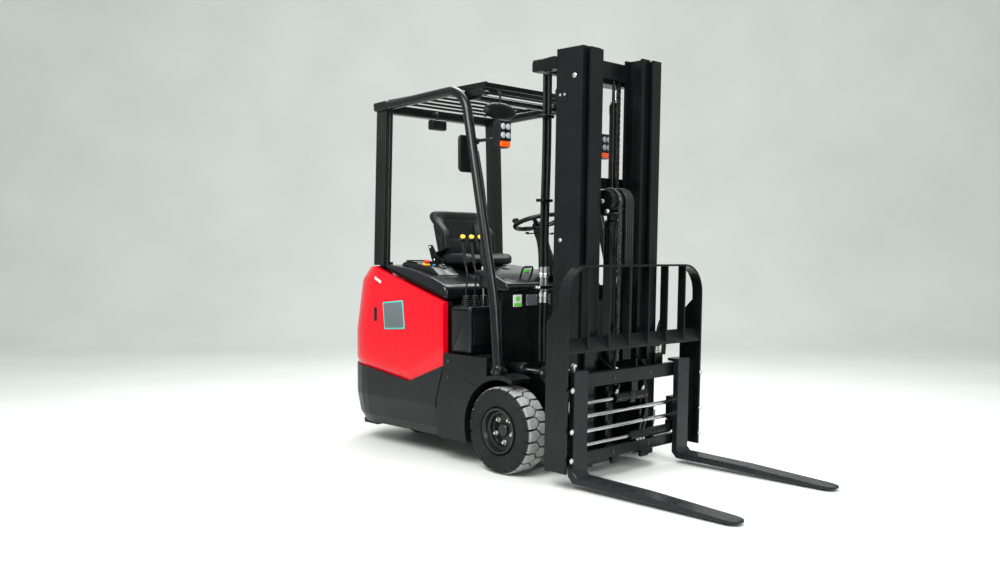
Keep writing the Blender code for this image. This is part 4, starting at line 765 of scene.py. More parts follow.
def hood():
    """Moulded battery hood with rounded nose, its side seam and the console."""
    side = [(0.445, 0.889), (0.4435, 0.944), (0.465, 0.974), (0.60, 1.021), (0.80, 1.066), (0.997, 1.0865),
            (0.997, 1.052), (0.829, 1.001)]
    make("hood_moulding", plump(side, -0.501, 0.501, 0.020, 0.030, steps=6), GLOSS, "deck",
            stands=("battery_deck",), sharp=50)
    tray = [plump([(0.50, 0.992), (0.58, 1.0215), (0.62, 1.0345), (0.62, 1.024), (0.50, 0.982)], -0.20,
            0.36, 0.004, 0.010)]
    tray.append(plump([(0.60, 1.024), (0.90, 1.078), (0.90, 1.086), (0.60, 1.034)], 0.262 - 0.016,
            0.262 + 0.016, 0.004, 0.006))
    make("hood_tray_ribs", tray, MOULD, "deck")
    make("hood_latch", plump(oblong((-0.03, 0.900), (0.03, 0.935)), 0.436, 0.447, 0.003, 0.006, "XZ"),
            STEEL, "deck")
    shape = [(0.590, 0.985), (0.588, 1.022), (0.660, 1.073), (0.900, 1.104), (0.935, 1.094), (0.935, 1.060)]
    make("console_moulding", plump(shape, -0.426, -0.262, 0.012, 0.020, steps=5), GLOSS, "deck",
            stands=("side_console",), sharp=50)
    up = (0.0, -0.30, 1.0)
    make("stop_button_base", lathe([(-0.012, 0), (-0.012, 0.022), (0.004, 0.022), (0.006, 0.018),
            (0.006, 0)], (-0.395, 0.74, 1.086), up, 32), YELLOW, "deck")
    make("stop_button", lathe([(0.0, 0), (0.0, 0.009), (0.012, 0.009), (0.013, 0.017), (0.019, 0.0185),
            (0.024, 0.015), (0.026, 0.008), (0.0262, 0)],
                              (-0.395, 0.74, 1.088), up, 32), SIGNAL, "deck")
    make("console_dial", [lathe([(-0.01, 0), (-0.01, 0.024), (0.005, 0.024), (0.007, 0.021), (0.007, 0.013),
            (0.016, 0.011), (0.017, 0.0)],
                                (-0.335, 0.665, 1.072), (0, -0.50, 1), 36)], STEEL, "deck")
    make("console_blue_cap", lathe([(-0.01, 0), (-0.01, 0.009), (0.006, 0.009), (0.008, 0.006), (0.008, 0)],
            (-0.372, 0.700, 1.079), up, 20), BLUE, "deck")
    make("console_tray_lip", tube(bent([(-0.415, 0.80, 1.0955), (-0.415, 0.91, 1.108),
            (-0.275, 0.91, 1.108), (-0.275, 0.80, 1.0955)], (0.02, 0.02)), 0.004, 10), MOULD, "deck")


seat()
hood()


# ---------------------------------------------------------------- levers, cowl, dashboard and steering

def controls():
    """Lever cowl, ribbed boots and bent levers with two-colour knobs."""
    cowl = [(0.250, 0.6003), (0.250, 0.852), (0.262, 0.861), (0.400, 0.861), (0.412, 0.850),
            (0.412, 0.6003)]
    make("cowl_moulding", plump(cowl, -0.501, -0.275, 0.022, 0.020, steps=6), GLOSS, "root",
            stands=("lever_cowl",), sharp=50)
    seam = [soft_block((-0.5025, 0.262, 0.716), (-0.30, 0.3, 0.722), 0.002, 3, 3),
            soft_block((-0.47, 0.2475, 0.650), (-0.31, 0.253, 0.812), 0.002, 3, 3)]
    make("cowl_panel_lines", seam, MOULD, "root")
    along = np.linspace(0, 1, 44)
    wave = 0.5 - 0.5 * np.cos(along * TAU * 5)
    boots, rods, sleeves, knobs, caps = [], [], [], [], []
    for i in range(3):
        foot = np.array((LEVER_X + LEVER_STEP * i, LEVER_Y, LEVER_FOOT_Z))
        path = flow([foot, foot + (0.002, 0.004, 0.075), foot + (0.006, -0.004, 0.165),
                foot + (0.009, 0.018, 0.245), foot + (0.010, 0.042, 0.372)], 56)
        boots.append(lathe(np.vstack(([(-0.004, 0.0)],
                np.column_stack((along * 0.060, 0.029 - 0.014 * along + 0.0045 * wave)), [(0.061, 0.0)])),
                foot, (0, 0, 1), 28))
        rods.append(tube(path[:46], 0.0052, 14))
        top = path[38:]
        sleeves.append(tube(top, np.interp(np.linspace(0, 1, len(top)), (0, 0.12, 0.7, 1),
                (0.0058, 0.0095, 0.0088, 0.007)), 16))
        way = np.array((-0.38, -0.62, 0.62))
        knobs.append(lathe([(-0.012, 0.0), (-0.012, 0.008), (-0.004, 0.0145), (0.006, 0.0185),
                (0.017, 0.0192), (0.026, 0.0172), (0.0275, 0.0150), (0.0275, 0.0)], path[-1] - way * 0.008,
                way, 32))
        way = way / np.linalg.norm(way)
        caps.append(lathe([(0.0, 0.0), (0.0, 0.0145), (0.0018, 0.0142), (0.0032, 0.010), (0.0036, 0.0)],
                path[-1] + way * 0.0185, way, 28))
    make("lever_boots", boots, MOULD, "root", sharp=60)
    make("lever_rods", rods, GLOSS, "root", stands=("hydraulic_levers",))
    make("lever_sleeves", sleeves, MOULD, "root")
    make("lever_knobs", knobs, GLOSS, "root", sharp=50)
    make("lever_knob_caps", caps, YELLOW, "root")
    thin = flow([(-0.318, 0.335, 0.855), (-0.318, 0.338, 0.96), (-0.316, 0.342, 1.03),
            (-0.315, 0.350, 1.075)], 24)
    make("selector_rod", tube(thin, 0.0042, 12), ZINC, "root")
    make("selector_boot", lathe([(-0.004, 0), (-0.004, 0.016), (0.006, 0.016), (0.012, 0.011),
            (0.028, 0.009), (0.030, 0)], (-0.318, 0.335, 0.860), (0, 0, 1), 24), MOULD, "root")


def dashboard():
    """Dashboard moulding with its lip, loop and keys, and the blank plates."""
    hood_side = [(0.079, 0.985), (0.20, 1.037), (0.33, 1.0605), (0.350, 1.047), (0.300, 0.960),
            (0.16, 0.943), (0.079, 0.940)]
    make("dash_moulding", plump(hood_side, -0.386, 0.386, 0.016, 0.022, steps=5), GLOSS, "root",
            stands=("dashboard",), sharp=50)
    make("dash_front_lip", tube([(-0.375, 0.0805, 0.968), (0.0, 0.0805, 0.968), (0.375, 0.0805, 0.968)],
            0.007, 14), MOULD, "root")
    make("dash_grab_loop", tube(bent([(-0.18, 0.180, 1.025), (-0.18, 0.160, 1.075), (-0.10, 0.160, 1.075),
            (-0.10, 0.180, 1.025)], (0.018, 0.018)), 0.0055, 14), MOULD, "root")
    keys = [plump(oblong((x - 0.014, y - 0.010), (x + 0.014, y + 0.010)), z, z + 0.007, 0.0025, 0.004, "XY")
            for x, y, z in ((0.10, 0.26, 1.0475), (0.14, 0.26, 1.0475), (0.18, 0.26, 1.0475),
                    (0.10, 0.225, 1.040))]
    make("dash_keys", keys, MOULD, "root")
    make("dash_green_key", plump(oblong((-0.075, 0.235), (-0.055, 0.262)), 1.043, 1.058, 0.003, 0.005,
            "XY"), GREEN, "root")
    plate = [soft_block((x0, 0.0795, z0), (x1, 0.0865, z1), 0.0014, 3, 4) for x0, x1, z0,
            z1 in ((-0.235, -0.150, 0.865, 0.925), (-0.125, -0.045, 0.865, 0.925))]
    make("front_blank_plates", plate, SLATE, "root")
    make("front_blank_label", soft_block((-0.335, 0.0795, 0.862), (-0.272, 0.0865, 0.926), 0.0010, 3, 4),
            PALE, "root")
    make("front_green_band", [soft_block((-0.332, 0.0785, 0.866), (-0.275, 0.0800, 0.882), 0.0006, 3, 3),
                              soft_block((-0.318, 0.0785, 0.894), (-0.290, 0.0800, 0.918), 0.0006, 3, 3)],
                                      GREEN, "root")
    rivets = [(x, 0.0795, z) for x0, x1 in ((-0.229, -0.156), (-0.119, -0.051)) for x in (x0, x1)
            for z in (0.871, 0.919)]
    make("plate_rivets", bolts(rivets, (0, -1, 0), 0.0022, 0.0016), ZINC, "root")

def footwell():
    """Ribbed floor mat and two hanging pedals."""
    mat = [plump(oblong((-0.40, 0.115), (0.40, 0.43)), 0.5004, 0.507, 0.003, 0.012, "XY")]
    mat += [soft_block((-0.39, y - 0.004, 0.506), (0.39, y + 0.004, 0.509), 0.0014, 3, 3)
            for y in np.linspace(0.14, 0.41, 14)]
    make("floor_mat", mat, MOULD, "root")
    pedals = [plump([(0.135, 0.560), (0.142, 0.566), (0.222, 0.523), (0.216, 0.516)], x - w, x + w, 0.003,
            0.004) for x, w in ((0.06, 0.045), (0.22, 0.035))]
    pedals += [tube(flow([(x, 0.104, 0.640), (x, 0.125, 0.600), (x, 0.178, 0.545)], 14), 0.008, 12)
            for x in (0.06, 0.22)]
    make("floor_pedals", pedals, MOULD, "root")


RAKE = math.radians(16)
HUB = np.array((0.0, 0.215, 1.330))
AXIS = np.array((0.0, math.sin(RAKE), math.cos(RAKE)))
FLAT = np.cross(AXIS, (1.0, 0.0, 0.0))


def on_wheel(points):
    """Points given as (across, along, above) in the steering wheel's plane."""
    p = np.asarray(points, float)
    return HUB + p[..., :1] * np.array((1.0, 0, 0)) + p[..., 1:2] * FLAT + p[..., 2:] * AXIS


def steering():
    """Wheel ring with finger bumps, three dished spokes, centre pad, spinner
    knob, and the shroud that tapers down into the dashboard."""
    a = np.linspace(0, TAU, 181)[:-1]
    b = np.linspace(0, TAU, 20, endpoint=False)
    grip = GRIP_R + 0.0009 * np.cos(a * 32)[:, None] * np.clip(-np.sin(b)[None, :], 0, 1)
    ring = RING_R + grip * np.cos(b)[None, :]
    points = on_wheel(np.stack((ring * np.cos(a)[:, None], ring * np.sin(a)[:, None],
            grip * np.sin(b)[None, :]), -1))
    make("wheel_ring", skin(points, True), MOULD, "steering_wheel", stands=("steering_wheel",), sharp=80)
    spokes = []
    for angle in np.radians((90, 210, 330)):
        out = np.array((math.cos(angle), math.sin(angle), 0.0))
        side = np.array((-out[1], out[0], 0.0))
        r = np.linspace(0.018, 0.136, 16)
        drop = -0.024 * (1 - ease(r, 0.03, 0.125))
        wide = np.interp(r, (0.018, 0.06, 0.136), (0.024, 0.015, 0.0115))
        thick = np.interp(r, (0.018, 0.136), (0.010, 0.0065))
        rings = r[:, None, None] * out + drop[:, None, None] * np.array((0, 0, 1.0)) + (
            wide[:, None] * np.cos(b)[None, :])[..., None] * side + (thick[:, None] * np.sin(b)[None,
                    :])[..., None] * np.array((0, 0, 1.0))
        spokes.append(skin(on_wheel(rings)))
    hub = lathe([(-0.0440, 0), (-0.0440, 0.032), (-0.030, 0.040), (-0.014, 0.041), (-0.006, 0.036),
            (-0.002, 0.024), (-0.001, 0)], HUB, AXIS, 48)
    make("wheel_spokes", spokes + [hub], GLOSS, "steering_wheel", sharp=50)
    at = on_wheel([(-0.128 * math.cos(0.9), 0.128 * math.sin(0.9), 0.010)])[0]
    make("spinner_knob", lathe([(0.0, 0), (0.0, 0.008), (0.012, 0.0075), (0.016, 0.016), (0.026, 0.0205),
            (0.035, 0.018), (0.040, 0.010), (0.041, 0)], at, AXIS, 32), MOULD, "steering_wheel")
    t = np.linspace(0, 1, 12)
    profile = np.column_stack((-0.330 + 0.283 * t, 0.060 - 0.026 * ease(t, 0.0, 0.75) + 0.006 * ease(t,
            0.80, 0.97)))
    profile = np.vstack(([(-0.330, 0)], profile, [(-0.0465, 0.034), (-0.046, 0)]))
    make("steering_shroud", lathe(profile, HUB, AXIS, 40), GLOSS, "root", stands=("steering_column",),
            sharp=50)
    stalk = [tube(on_wheel(flow([(s * 0.030, 0.0, -0.070), (s * 0.085, 0.006, -0.068),
            (s * 0.112, 0.010, -0.064)], 14)),
                  np.interp(np.linspace(0, 1, 14), (0, 0.55, 0.7, 1), (0.0035, 0.0035, 0.008, 0.006)), 14)
                          for s in (-1, 1)]
    make("direction_stalks", stalk, MOULD, "root")


controls()
dashboard()
footwell()
steering()


# ---------------------------------------------------------------- overhead guard

def guard():
    """Bent side tubes, cross members, grooved rear legs with feet, and the
    plates that tie them, all in smooth gloss paint."""
    bars = []
    for s in (-1, 1):
        path = bent([(s * GUARD_HALF, 1.110, 2.025), (s * GUARD_HALF, 0.330, 2.047),
                (s * 0.498, 0.062, 0.900), (s * GUARD_FOOT_X, 0.028, 0.530)], (0.160, 0.9), 24)
        bars.append(tube(path, GUARD_TUBE_R, 28))
        bars.append(plump(oblong((min(s * 0.462, s * 0.524), -0.004), (max(s * 0.462, s * 0.524), 0.060)),
                0.516, 0.545, 0.005, 0.008, "XY"))
        bars.append(lathe([(0, 0.0), (0, 0.034), (0.010, 0.034), (0.018, 0.029), (0.018, 0.0)],
                (s * GUARD_FOOT_X, 0.028, 0.545), (0, 0, 1), 32))
        section = np.array([(0.445, 1.018), (0.466, 1.018), (0.469, 1.0215), (0.476, 1.0215),
                (0.479, 1.018), (0.500, 1.018), (0.500, 1.043), (0.4955, 1.047),
                            (0.4955, 1.056), (0.500, 1.060), (0.500, 1.074), (0.4955, 1.078),
                                    (0.4955, 1.087), (0.500, 1.091), (0.500, 1.110), (0.445, 1.110)])
        section = fillet(section, 0.004, 3)
        rings = [np.column_stack((s * (section[:, 0] - 0.028 * max(z - 1.08, 0)), section[:, 1],
                np.full(len(section), z))) for z in np.linspace(1.081, 2.035, 12)]
        bars.append(skin(rings))
        bars.append(soft_block((min(s * 0.420, s * 0.458), 1.020, 1.0206),
                (max(s * 0.420, s * 0.458), 1.108, 1.100), 0.005, 4, 4))
        bars.append(plump([(0.99, 2.006), (1.115, 2.000), (1.122, 2.052), (0.99, 2.056)],
                min(s * 0.440, s * 0.494), max(s * 0.440, s * 0.494), 0.008, 0.014))
    bars.append(soft_block((-0.462, 0.470, 2.025), (0.462, 0.510, 2.055), 0.007, 4, 6))
    bars.append(plump([(1.060, 1.995), (1.120, 1.995), (1.120, 2.040), (1.108, 2.053), (1.060, 2.053)],
            -0.462, 0.462, 0.005, 0.012))
    make("guard_tubework", bars, GUARD, "root", stands=("overhead_guard",), sharp=45)
    gusset = [plump([(0.190, 2.000), (0.330, 2.000), (0.330, 2.030), (0.245, 2.040), (0.190, 2.020)],
            s * 0.425 - 0.016, s * 0.425 + 0.016, 0.003, 0.010) for s in (-1, 1)]
    make("roof_corner_plates", gusset, GUARD, "root")
    heads = [(s * 0.527, y, z) for s in (-1, 1) for y, z in ((0.012, 0.531), (0.045, 0.531))]
    make("guard_foot_bolts", [bolts([p], (np.sign(p[0]), 0, 0), 0.0075, 0.006)
            for p in heads] + [bolts([(s * 0.400, y, 2.058) for s in (-1, 1) for y in (0.486, 1.09)],
            (0, 0, 1), 0.007, 0.005)], STEEL, "root")
    wires = [tube(flow([(-0.472, 0.235, 1.70), (-0.476, 0.185, 1.50), (-0.490, 0.130, 1.25),
            (-0.492, 0.095, 1.02), (-0.470, 0.105, 0.90)], 50) + (0.030, 0.012, 0.0), 0.006, 12)]
    make("guard_cable", wires, MOULD, "root")


def lamps():
    """Work lamps with four clear cells over an amber one, the rear spot, and
    the mirrors."""
    for word, s in SIDES:
        x0, x1 = sorted(s * x for x in LAMP_X)
        body = [plump(oblong((x0, 1.706), (x1, 1.850)), 0.066, 0.118, 0.010, 0.014, "XZ"),
                soft_block((x0 - 0.001, 0.060, 1.742), (x1 + 0.001, 0.075, 1.851), 0.004, 3, 5)]
        body += [plump(oblong((x0 + 0.010, 1.718 + 0.018 * i), (x1 - 0.010, 1.725 + 0.018 * i)), 0.114,
                0.130, 0.002, 0.003, "XZ") for i in range(7)]
        body.append(tube(bent([(s * 0.414, 0.110, 1.754), (s * 0.455, 0.130, 1.754),
                (s * 0.462, 0.275, 1.754)], (0.02,)), 0.009, 16))
        body.append(soft_block((min(s * 0.438, s * 0.480), 0.238, 1.738),
                (max(s * 0.438, s * 0.480), 0.262, 1.770), 0.004, 3, 4))
        make(f"{word}_lamp_housing", body, MOULD, "root", stands=(f"{word}_work_lamp",))
        cells = [lathe([(0.0, 0), (0.0, 0.0165), (0.003, 0.0162), (0.0055, 0.012), (0.0065, 0.006),
                (0.0068, 0)], (x, 0.0605, z), (0, -1, 0), 32)
                 for x in ((x0 + x1) / 2 - 0.0185, (x0 + x1) / 2 + 0.0185) for z in (1.772, 1.818)]
        make(f"{word}_lamp_cells", cells, CLEAR, "root")
        make(f"{word}_lamp_amber", plump(oblong((x0 + 0.006, 1.711), (x1 - 0.006, 1.741)), 0.058, 0.070,
                0.004, 0.008, "XZ"), AMBER, "root")
    make("spot_housing", [plump(oblong((-0.150, 1.915), (-0.030, 1.978)), 0.976, 1.022, 0.010, 0.014, "XZ"),
                          tube(bent([(-0.090, 1.000, 1.970), (-0.090, 1.000, 2.022),
                                  (-0.090, 1.066, 2.022)], (0.015,)), 0.008, 14)],
         MOULD, "root", stands=("rear_spot_lamp",))
    make("spot_glass", plump(oblong((-0.144, 1.921), (-0.036, 1.972)), 1.018, 1.027, 0.003, 0.010, "XZ"),
            CLEAR, "root")
    for word, s in SIDES:
        x0, x1 = sorted((s * 0.392, s * 0.520))
        body = [plump(oblong((x0, 1.590), (x1, 1.792)), MIRROR_Y, MIRROR_Y + 0.017, 0.007, 0.030, "XZ", 5),
                tube(bent([(s * 0.482, 0.243, 1.700), (s * 0.462, 0.275, 1.700), (s * 0.456, 0.312, 1.700)],
                        (0.012,)), 0.007, 14)]
        make(f"{word}_mirror_shell", body, MOULD, "root", stands=(f"{word}_mirror",))
        make(f"{word}_mirror_glass", plump(oblong((x0 + 0.008, 1.598), (x1 - 0.008, 1.784)),
                MIRROR_Y + 0.016, MIRROR_Y + 0.0195, 0.001, 0.024, "XZ"), GLASS, "root")
    a, b = np.linspace(0, TAU, 64, endpoint=False), np.linspace(0, 1, 18)
    dome = np.stack([np.stack((0.116 * np.sin(t * math.pi / 2) ** 0.8 * np.cos(a),
            np.full(64, -0.016 * math.cos(t * math.pi / 2)),
            0.046 * np.sin(t * math.pi / 2) ** 0.8 * np.sin(a)), -1) for t in b[1:]])
    rim = dome[-1] * (1.006, 1.0, 1.02) + (0.0, 0.010, 0.0)
    bowl = skin(np.concatenate((dome, rim[None]), 0) + (-0.324, 0.192, 1.9215))
    arm = tube(bent([(-0.324, 0.196, 1.955), (-0.324, 0.196, 2.02), (-0.324, 0.215, 2.036)], (0.012,)),
            0.006, 14)
    make("panoramic_mirror_bowl", [bowl, arm], MOULD, "root", stands=("panoramic_mirror",), sharp=60)
    face = [np.stack((0.110 * r * np.cos(a), 0.009 * (1 - r ** 2) + 0 * a, 0.042 * r * np.sin(a)), -1)
            for r in (1.0, 0.85, 0.6, 0.3, 0.05)]
    back = face[0] * (1, 0, 1) + (0, -0.003, 0)
    make("panoramic_glass", skin(np.concatenate((back[None], np.stack(face)), 0) + (-0.324, 0.2005,
            1.9215)), GLASS, "root", sharp=60)


guard()
lamps()


# ---------------------------------------------------------------- body trim

def leaning(z):
    """How far the tail leans forward at each height."""
    return np.interp(z, TAIL_Z, TAIL_LEAN)


def panel(word, s):
    """Side panel as a grid: columns run along the side and round the rear
    corner, rows from the lower edge to the upper. The foot of the wall tucks
    in below a crease and the top edge rolls in; both are offsets along the
    wall's own outward direction."""
    low_y, low_z = (0.440, 0.744, 1.151, 1.70), (0.530, 0.417, 0.469, 0.490)
    top_y, top_z = (0.440, 0.829, 1.091, 1.70), (0.880, 0.995, 1.074, 1.074)
    flat = np.unique(np.concatenate((np.linspace(0.440, 1.004, 34), (0.744, 0.818, 0.829))))
    turns = 26
    bend = np.radians(np.linspace(0, 80, turns))
    share = np.concatenate(([0, 0.015, 0.03], np.linspace(0.05, 0.95, 26), [0.965, 0.98, 0.99, 1.0]))

    def corner(z):
        return CORNER_Y - leaning(z) + CORNER_R * np.sin(bend)

    bottom, top = np.full(turns, 0.47), np.full(turns, 1.074)
    for _ in range(12):
        bottom, top = np.interp(corner(bottom), low_y, low_z), np.interp(corner(top), top_y, top_z)
    bottom = np.concatenate((np.interp(flat, low_y, low_z), bottom))
    top = np.concatenate((np.interp(flat, top_y, top_z), top))
    z = bottom + share[:, None] * (top - bottom)
    y = np.concatenate((np.broadcast_to(flat, (len(share), len(flat))), corner(z[:, -turns:])), 1)
    x = np.concatenate((np.full(len(flat), BODY_HALF),
            BODY_HALF - CORNER_R + CORNER_R * np.cos(bend))) + 0 * z
    out = np.concatenate((np.tile((1.0, 0.0), (len(flat), 1)), np.stack((np.cos(bend), np.sin(bend)), -1)))
    crease = np.interp(y, (0.44, 0.547, 0.744, 0.818, 1.182, 1.45),
            (0.100, 0.080, 0.046, 0.034, 0.036, 0.036))
    tuck = 0.013 * np.clip(1 - (z - bottom) / crease, 0, 1) + 0.012 * np.clip(1 - (top - z) / 0.018, 0,
            1) ** 2
    tuck = tuck + 0.004 * (1 - ease(y, 0.440, 0.452))
    grids = [np.stack((s * (x - depth * out[:, 0]), y - depth * out[:, 1], z), -1)
            for depth in (tuck, 0.040 + 0 * tuck)]
    make(f"{word}_panel_shell", shell(*grids), RED, "root", stands=(f"{word}_side_panel",), sharp=14)


def trim():
    """Side badge, slot, blank label, feet, fender ledge and bolts, tow pin,
    tail vent and tail lamps."""
    for word, s in SIDES:
        flat = [(0.771, 0.716), (0.962, 0.703), (0.979, 0.862), (0.790, 0.880)]
        make(f"{word}_badge_edge", plump(flat, s * 0.5318 - 0.0018, s * 0.5318 + 0.0018, 0.0012, 0.006),
                TEAL, "root")
        grey = [(0.779, 0.723), (0.956, 0.711), (0.971, 0.856), (0.795, 0.872)]
        make(f"{word}_blank_badge", plump(grey, s * 0.5325 - 0.0022, s * 0.5325 + 0.0022, 0.0012, 0.006),
                SLATE, "root")
        slot = [plump(oblong((1.040, 0.747), (1.068, 0.830)), s * 0.5290 - 0.0022, s * 0.5290 + 0.0022,
                0.001, 0.006)]
        slot += [soft_block((min(s * 0.527, s * 0.5325), 1.044, z - 0.003),
                (max(s * 0.527, s * 0.5325), 1.064, z + 0.003), 0.001, 3, 3)
                for z in np.linspace(0.757, 0.820, 6)]
        make(f"{word}_vent_slot", slot, MOULD, "root")
    make("right_blank_label", plump([(1.000, 0.972), (1.060, 0.998), (1.057, 1.014), (0.997, 0.988)],
            -0.5325, -0.5290, 0.0008, 0.003), PALE, "root")
    feet = [soft_block((min(s * 0.36, s * 0.44), 1.16, 0.100), (max(s * 0.36, s * 0.44), 1.30, 0.132),
            0.008, 4, 4) for s in (-1, 1)]
    make("casting_feet", feet, CAST, "root")
    ledge = flow([(-0.5255, 0.500, 0.503), (-0.5255, 0.435, 0.501), (-0.5260, 0.33, 0.478),
            (-0.5260, 0.19, 0.443)], 30)
    make("right_fender_ledge", tube(ledge, 0.0045, 10), CAST, "root")
    make("left_fender_ledge", tube(ledge * (-1, 1, 1), 0.0045, 10), CAST, "root")
    heads = [(s * 0.5265, 0.400, 0.470) for s in (-1, 1)] + [(s * 0.5265, 0.395, 0.560) for s in (-1, 1)]
    make("fender_bolts", [bolts([p], (np.sign(p[0]), 0, 0), 0.0075, 0.005) for p in heads], STEEL, "root")
    tow = [lathe([(0, 0), (0, 0.016), (0.012, 0.018), (0.150, 0.018), (0.155, 0.014), (0.185, 0.012),
            (0.192, 0.026), (0.205, 0.026), (0.208, 0)], (0.0, 1.425, 0.300), (0, 0, 1), 28)]
    tow += [plump([(1.38, z), (1.445, z), (1.458, z + 0.010), (1.445, z + 0.022), (1.38, z + 0.022)],
            -0.045, 0.045, 0.004, 0.006) for z in (0.330, 0.420)]
    make("tow_pin_bracket", tow, CAST, "root")
    grille = [soft_block((-0.24, 1.4475 - leaning(z), z - 0.005), (0.24, 1.4525 - leaning(z), z + 0.005),
            0.0018, 3, 4) for z in np.linspace(0.56, 0.66, 6)]
    make("tail_vent_bars", grille, MOULD, "root")
    for word, s in SIDES:
        x0, x1 = sorted((s * 0.405, s * 0.450))
        make(f"{word}_tail_lamp_body", [plump(oblong((x0, 1.110), (x1, 1.230)), 1.106, 1.132, 0.004, 0.008,
                "XZ")], MOULD, "root")
        make(f"{word}_tail_lamp_red", plump(oblong((x0 + 0.004, 1.150), (x1 - 0.004, 1.226)), 1.130, 1.136,
                0.002, 0.006, "XZ"), RED_LENS, "root")
        make(f"{word}_tail_lamp_amber", plump(oblong((x0 + 0.004, 1.114), (x1 - 0.004, 1.146)), 1.130,
                1.136, 0.002, 0.006, "XZ"), AMBER, "root")


for word, side in SIDES:
    panel(word, side)
trim()


# ---------------------------------------------------------------- mast

def chain(name, body, x, y, low, high, width, stands=(), pitch=0.016):
    """Leaf chain: rows of side plates shaped like an eight, and round pins
    through them, one pitch apart, the rows shifted half a step in turn."""
    a = np.linspace(0, TAU, 25)[:-1]
    waist = 0.0048 + 0.0021 * np.abs(np.sin(a)) ** 1.2
    outline = np.column_stack((waist * np.cos(a), (pitch * 0.80) * np.sin(a)))
    rows = np.linspace(-width / 2, width / 2, 6)
    shapes = []
    for k, z in enumerate(np.arange(low, high, pitch)):
        for i, r in enumerate(rows):
            if (i + k) % 2 == 0:
                plate = np.stack([np.column_stack((np.full(24, x + r + t), y + outline[:, 0],
                        z + outline[:, 1])) for t in (-0.0017, 0.0017)])
                shapes.append(skin(plate))
        shapes.append(lathe([(-width / 2 - 0.003, 0), (-width / 2 - 0.003, 0.0034),
                (width / 2 + 0.003, 0.0034), (width / 2 + 0.003, 0)], (x, y, z), (1, 0, 0), 10))
    make(name, shapes, CHAIN, body, raised, stands=stands)


def fitting(spot, way, size=0.009, long=0.030):
    """Hose end: hexagon nut, ferrule and neck, turned about its own axis."""
    a = np.arange(24) * TAU / 24
    hexagon = math.cos(math.pi / 6) / np.cos(np.mod(a, TAU / 6) - TAU / 12)
    way = np.asarray(way, float) / np.linalg.norm(way)
    one = np.cross(way, (0.0, 0.0, 1.0) if abs(way[2]) < 0.9 else (0.0, 1.0, 0.0))
    one /= np.linalg.norm(one)
    two = np.cross(way, one)
    rings = [(0, 0.9, 1), (0.05, 1.0, 1), (0.36, 1.0, 1), (0.40, 0.9, 1), (0.42, 0.62, 0), (0.50, 0.62, 0),
            (0.52, 0.86, 0), (0.96, 0.82, 0), (1.0, 0.6, 0)]
    return skin(np.stack([np.asarray(spot, float) + t * long * way + size * r * (hexagon if h
            else np.ones(24))[:, None]
                          * (np.cos(a)[:, None] * one + np.sin(a)[:, None] * two) for t, r, h in rings]))


def cylinder(name, node, body, centre, low, high, radius):
    """Lift barrel: smooth tube with a gland collar and a weld bead at its foot."""
    profile = [(low, 0), (low, radius), (low + 0.012, radius * 1.02), (low + 0.030, radius * 1.02),
            (low + 0.034, radius),
               (high - 0.060, radius), (high - 0.056, radius * 1.07), (high - 0.012, radius * 1.07),
               (high - 0.008, radius * 0.98), (high, radius * 0.80), (high, 0)]
    make(name, lathe(profile, centre, (0, 0, 1), 40), BLACK, body, raised, stands=(node,))


def over_sheave(x):
    """The half turn that chain and hoses take over the sheave."""
    arc = np.linspace(0, math.pi, 28)
    return np.column_stack((np.full(28, x), SHEAVE_Y - WRAP_R * np.cos(arc),
            SHEAVE_Z + WRAP_R * np.sin(arc)))


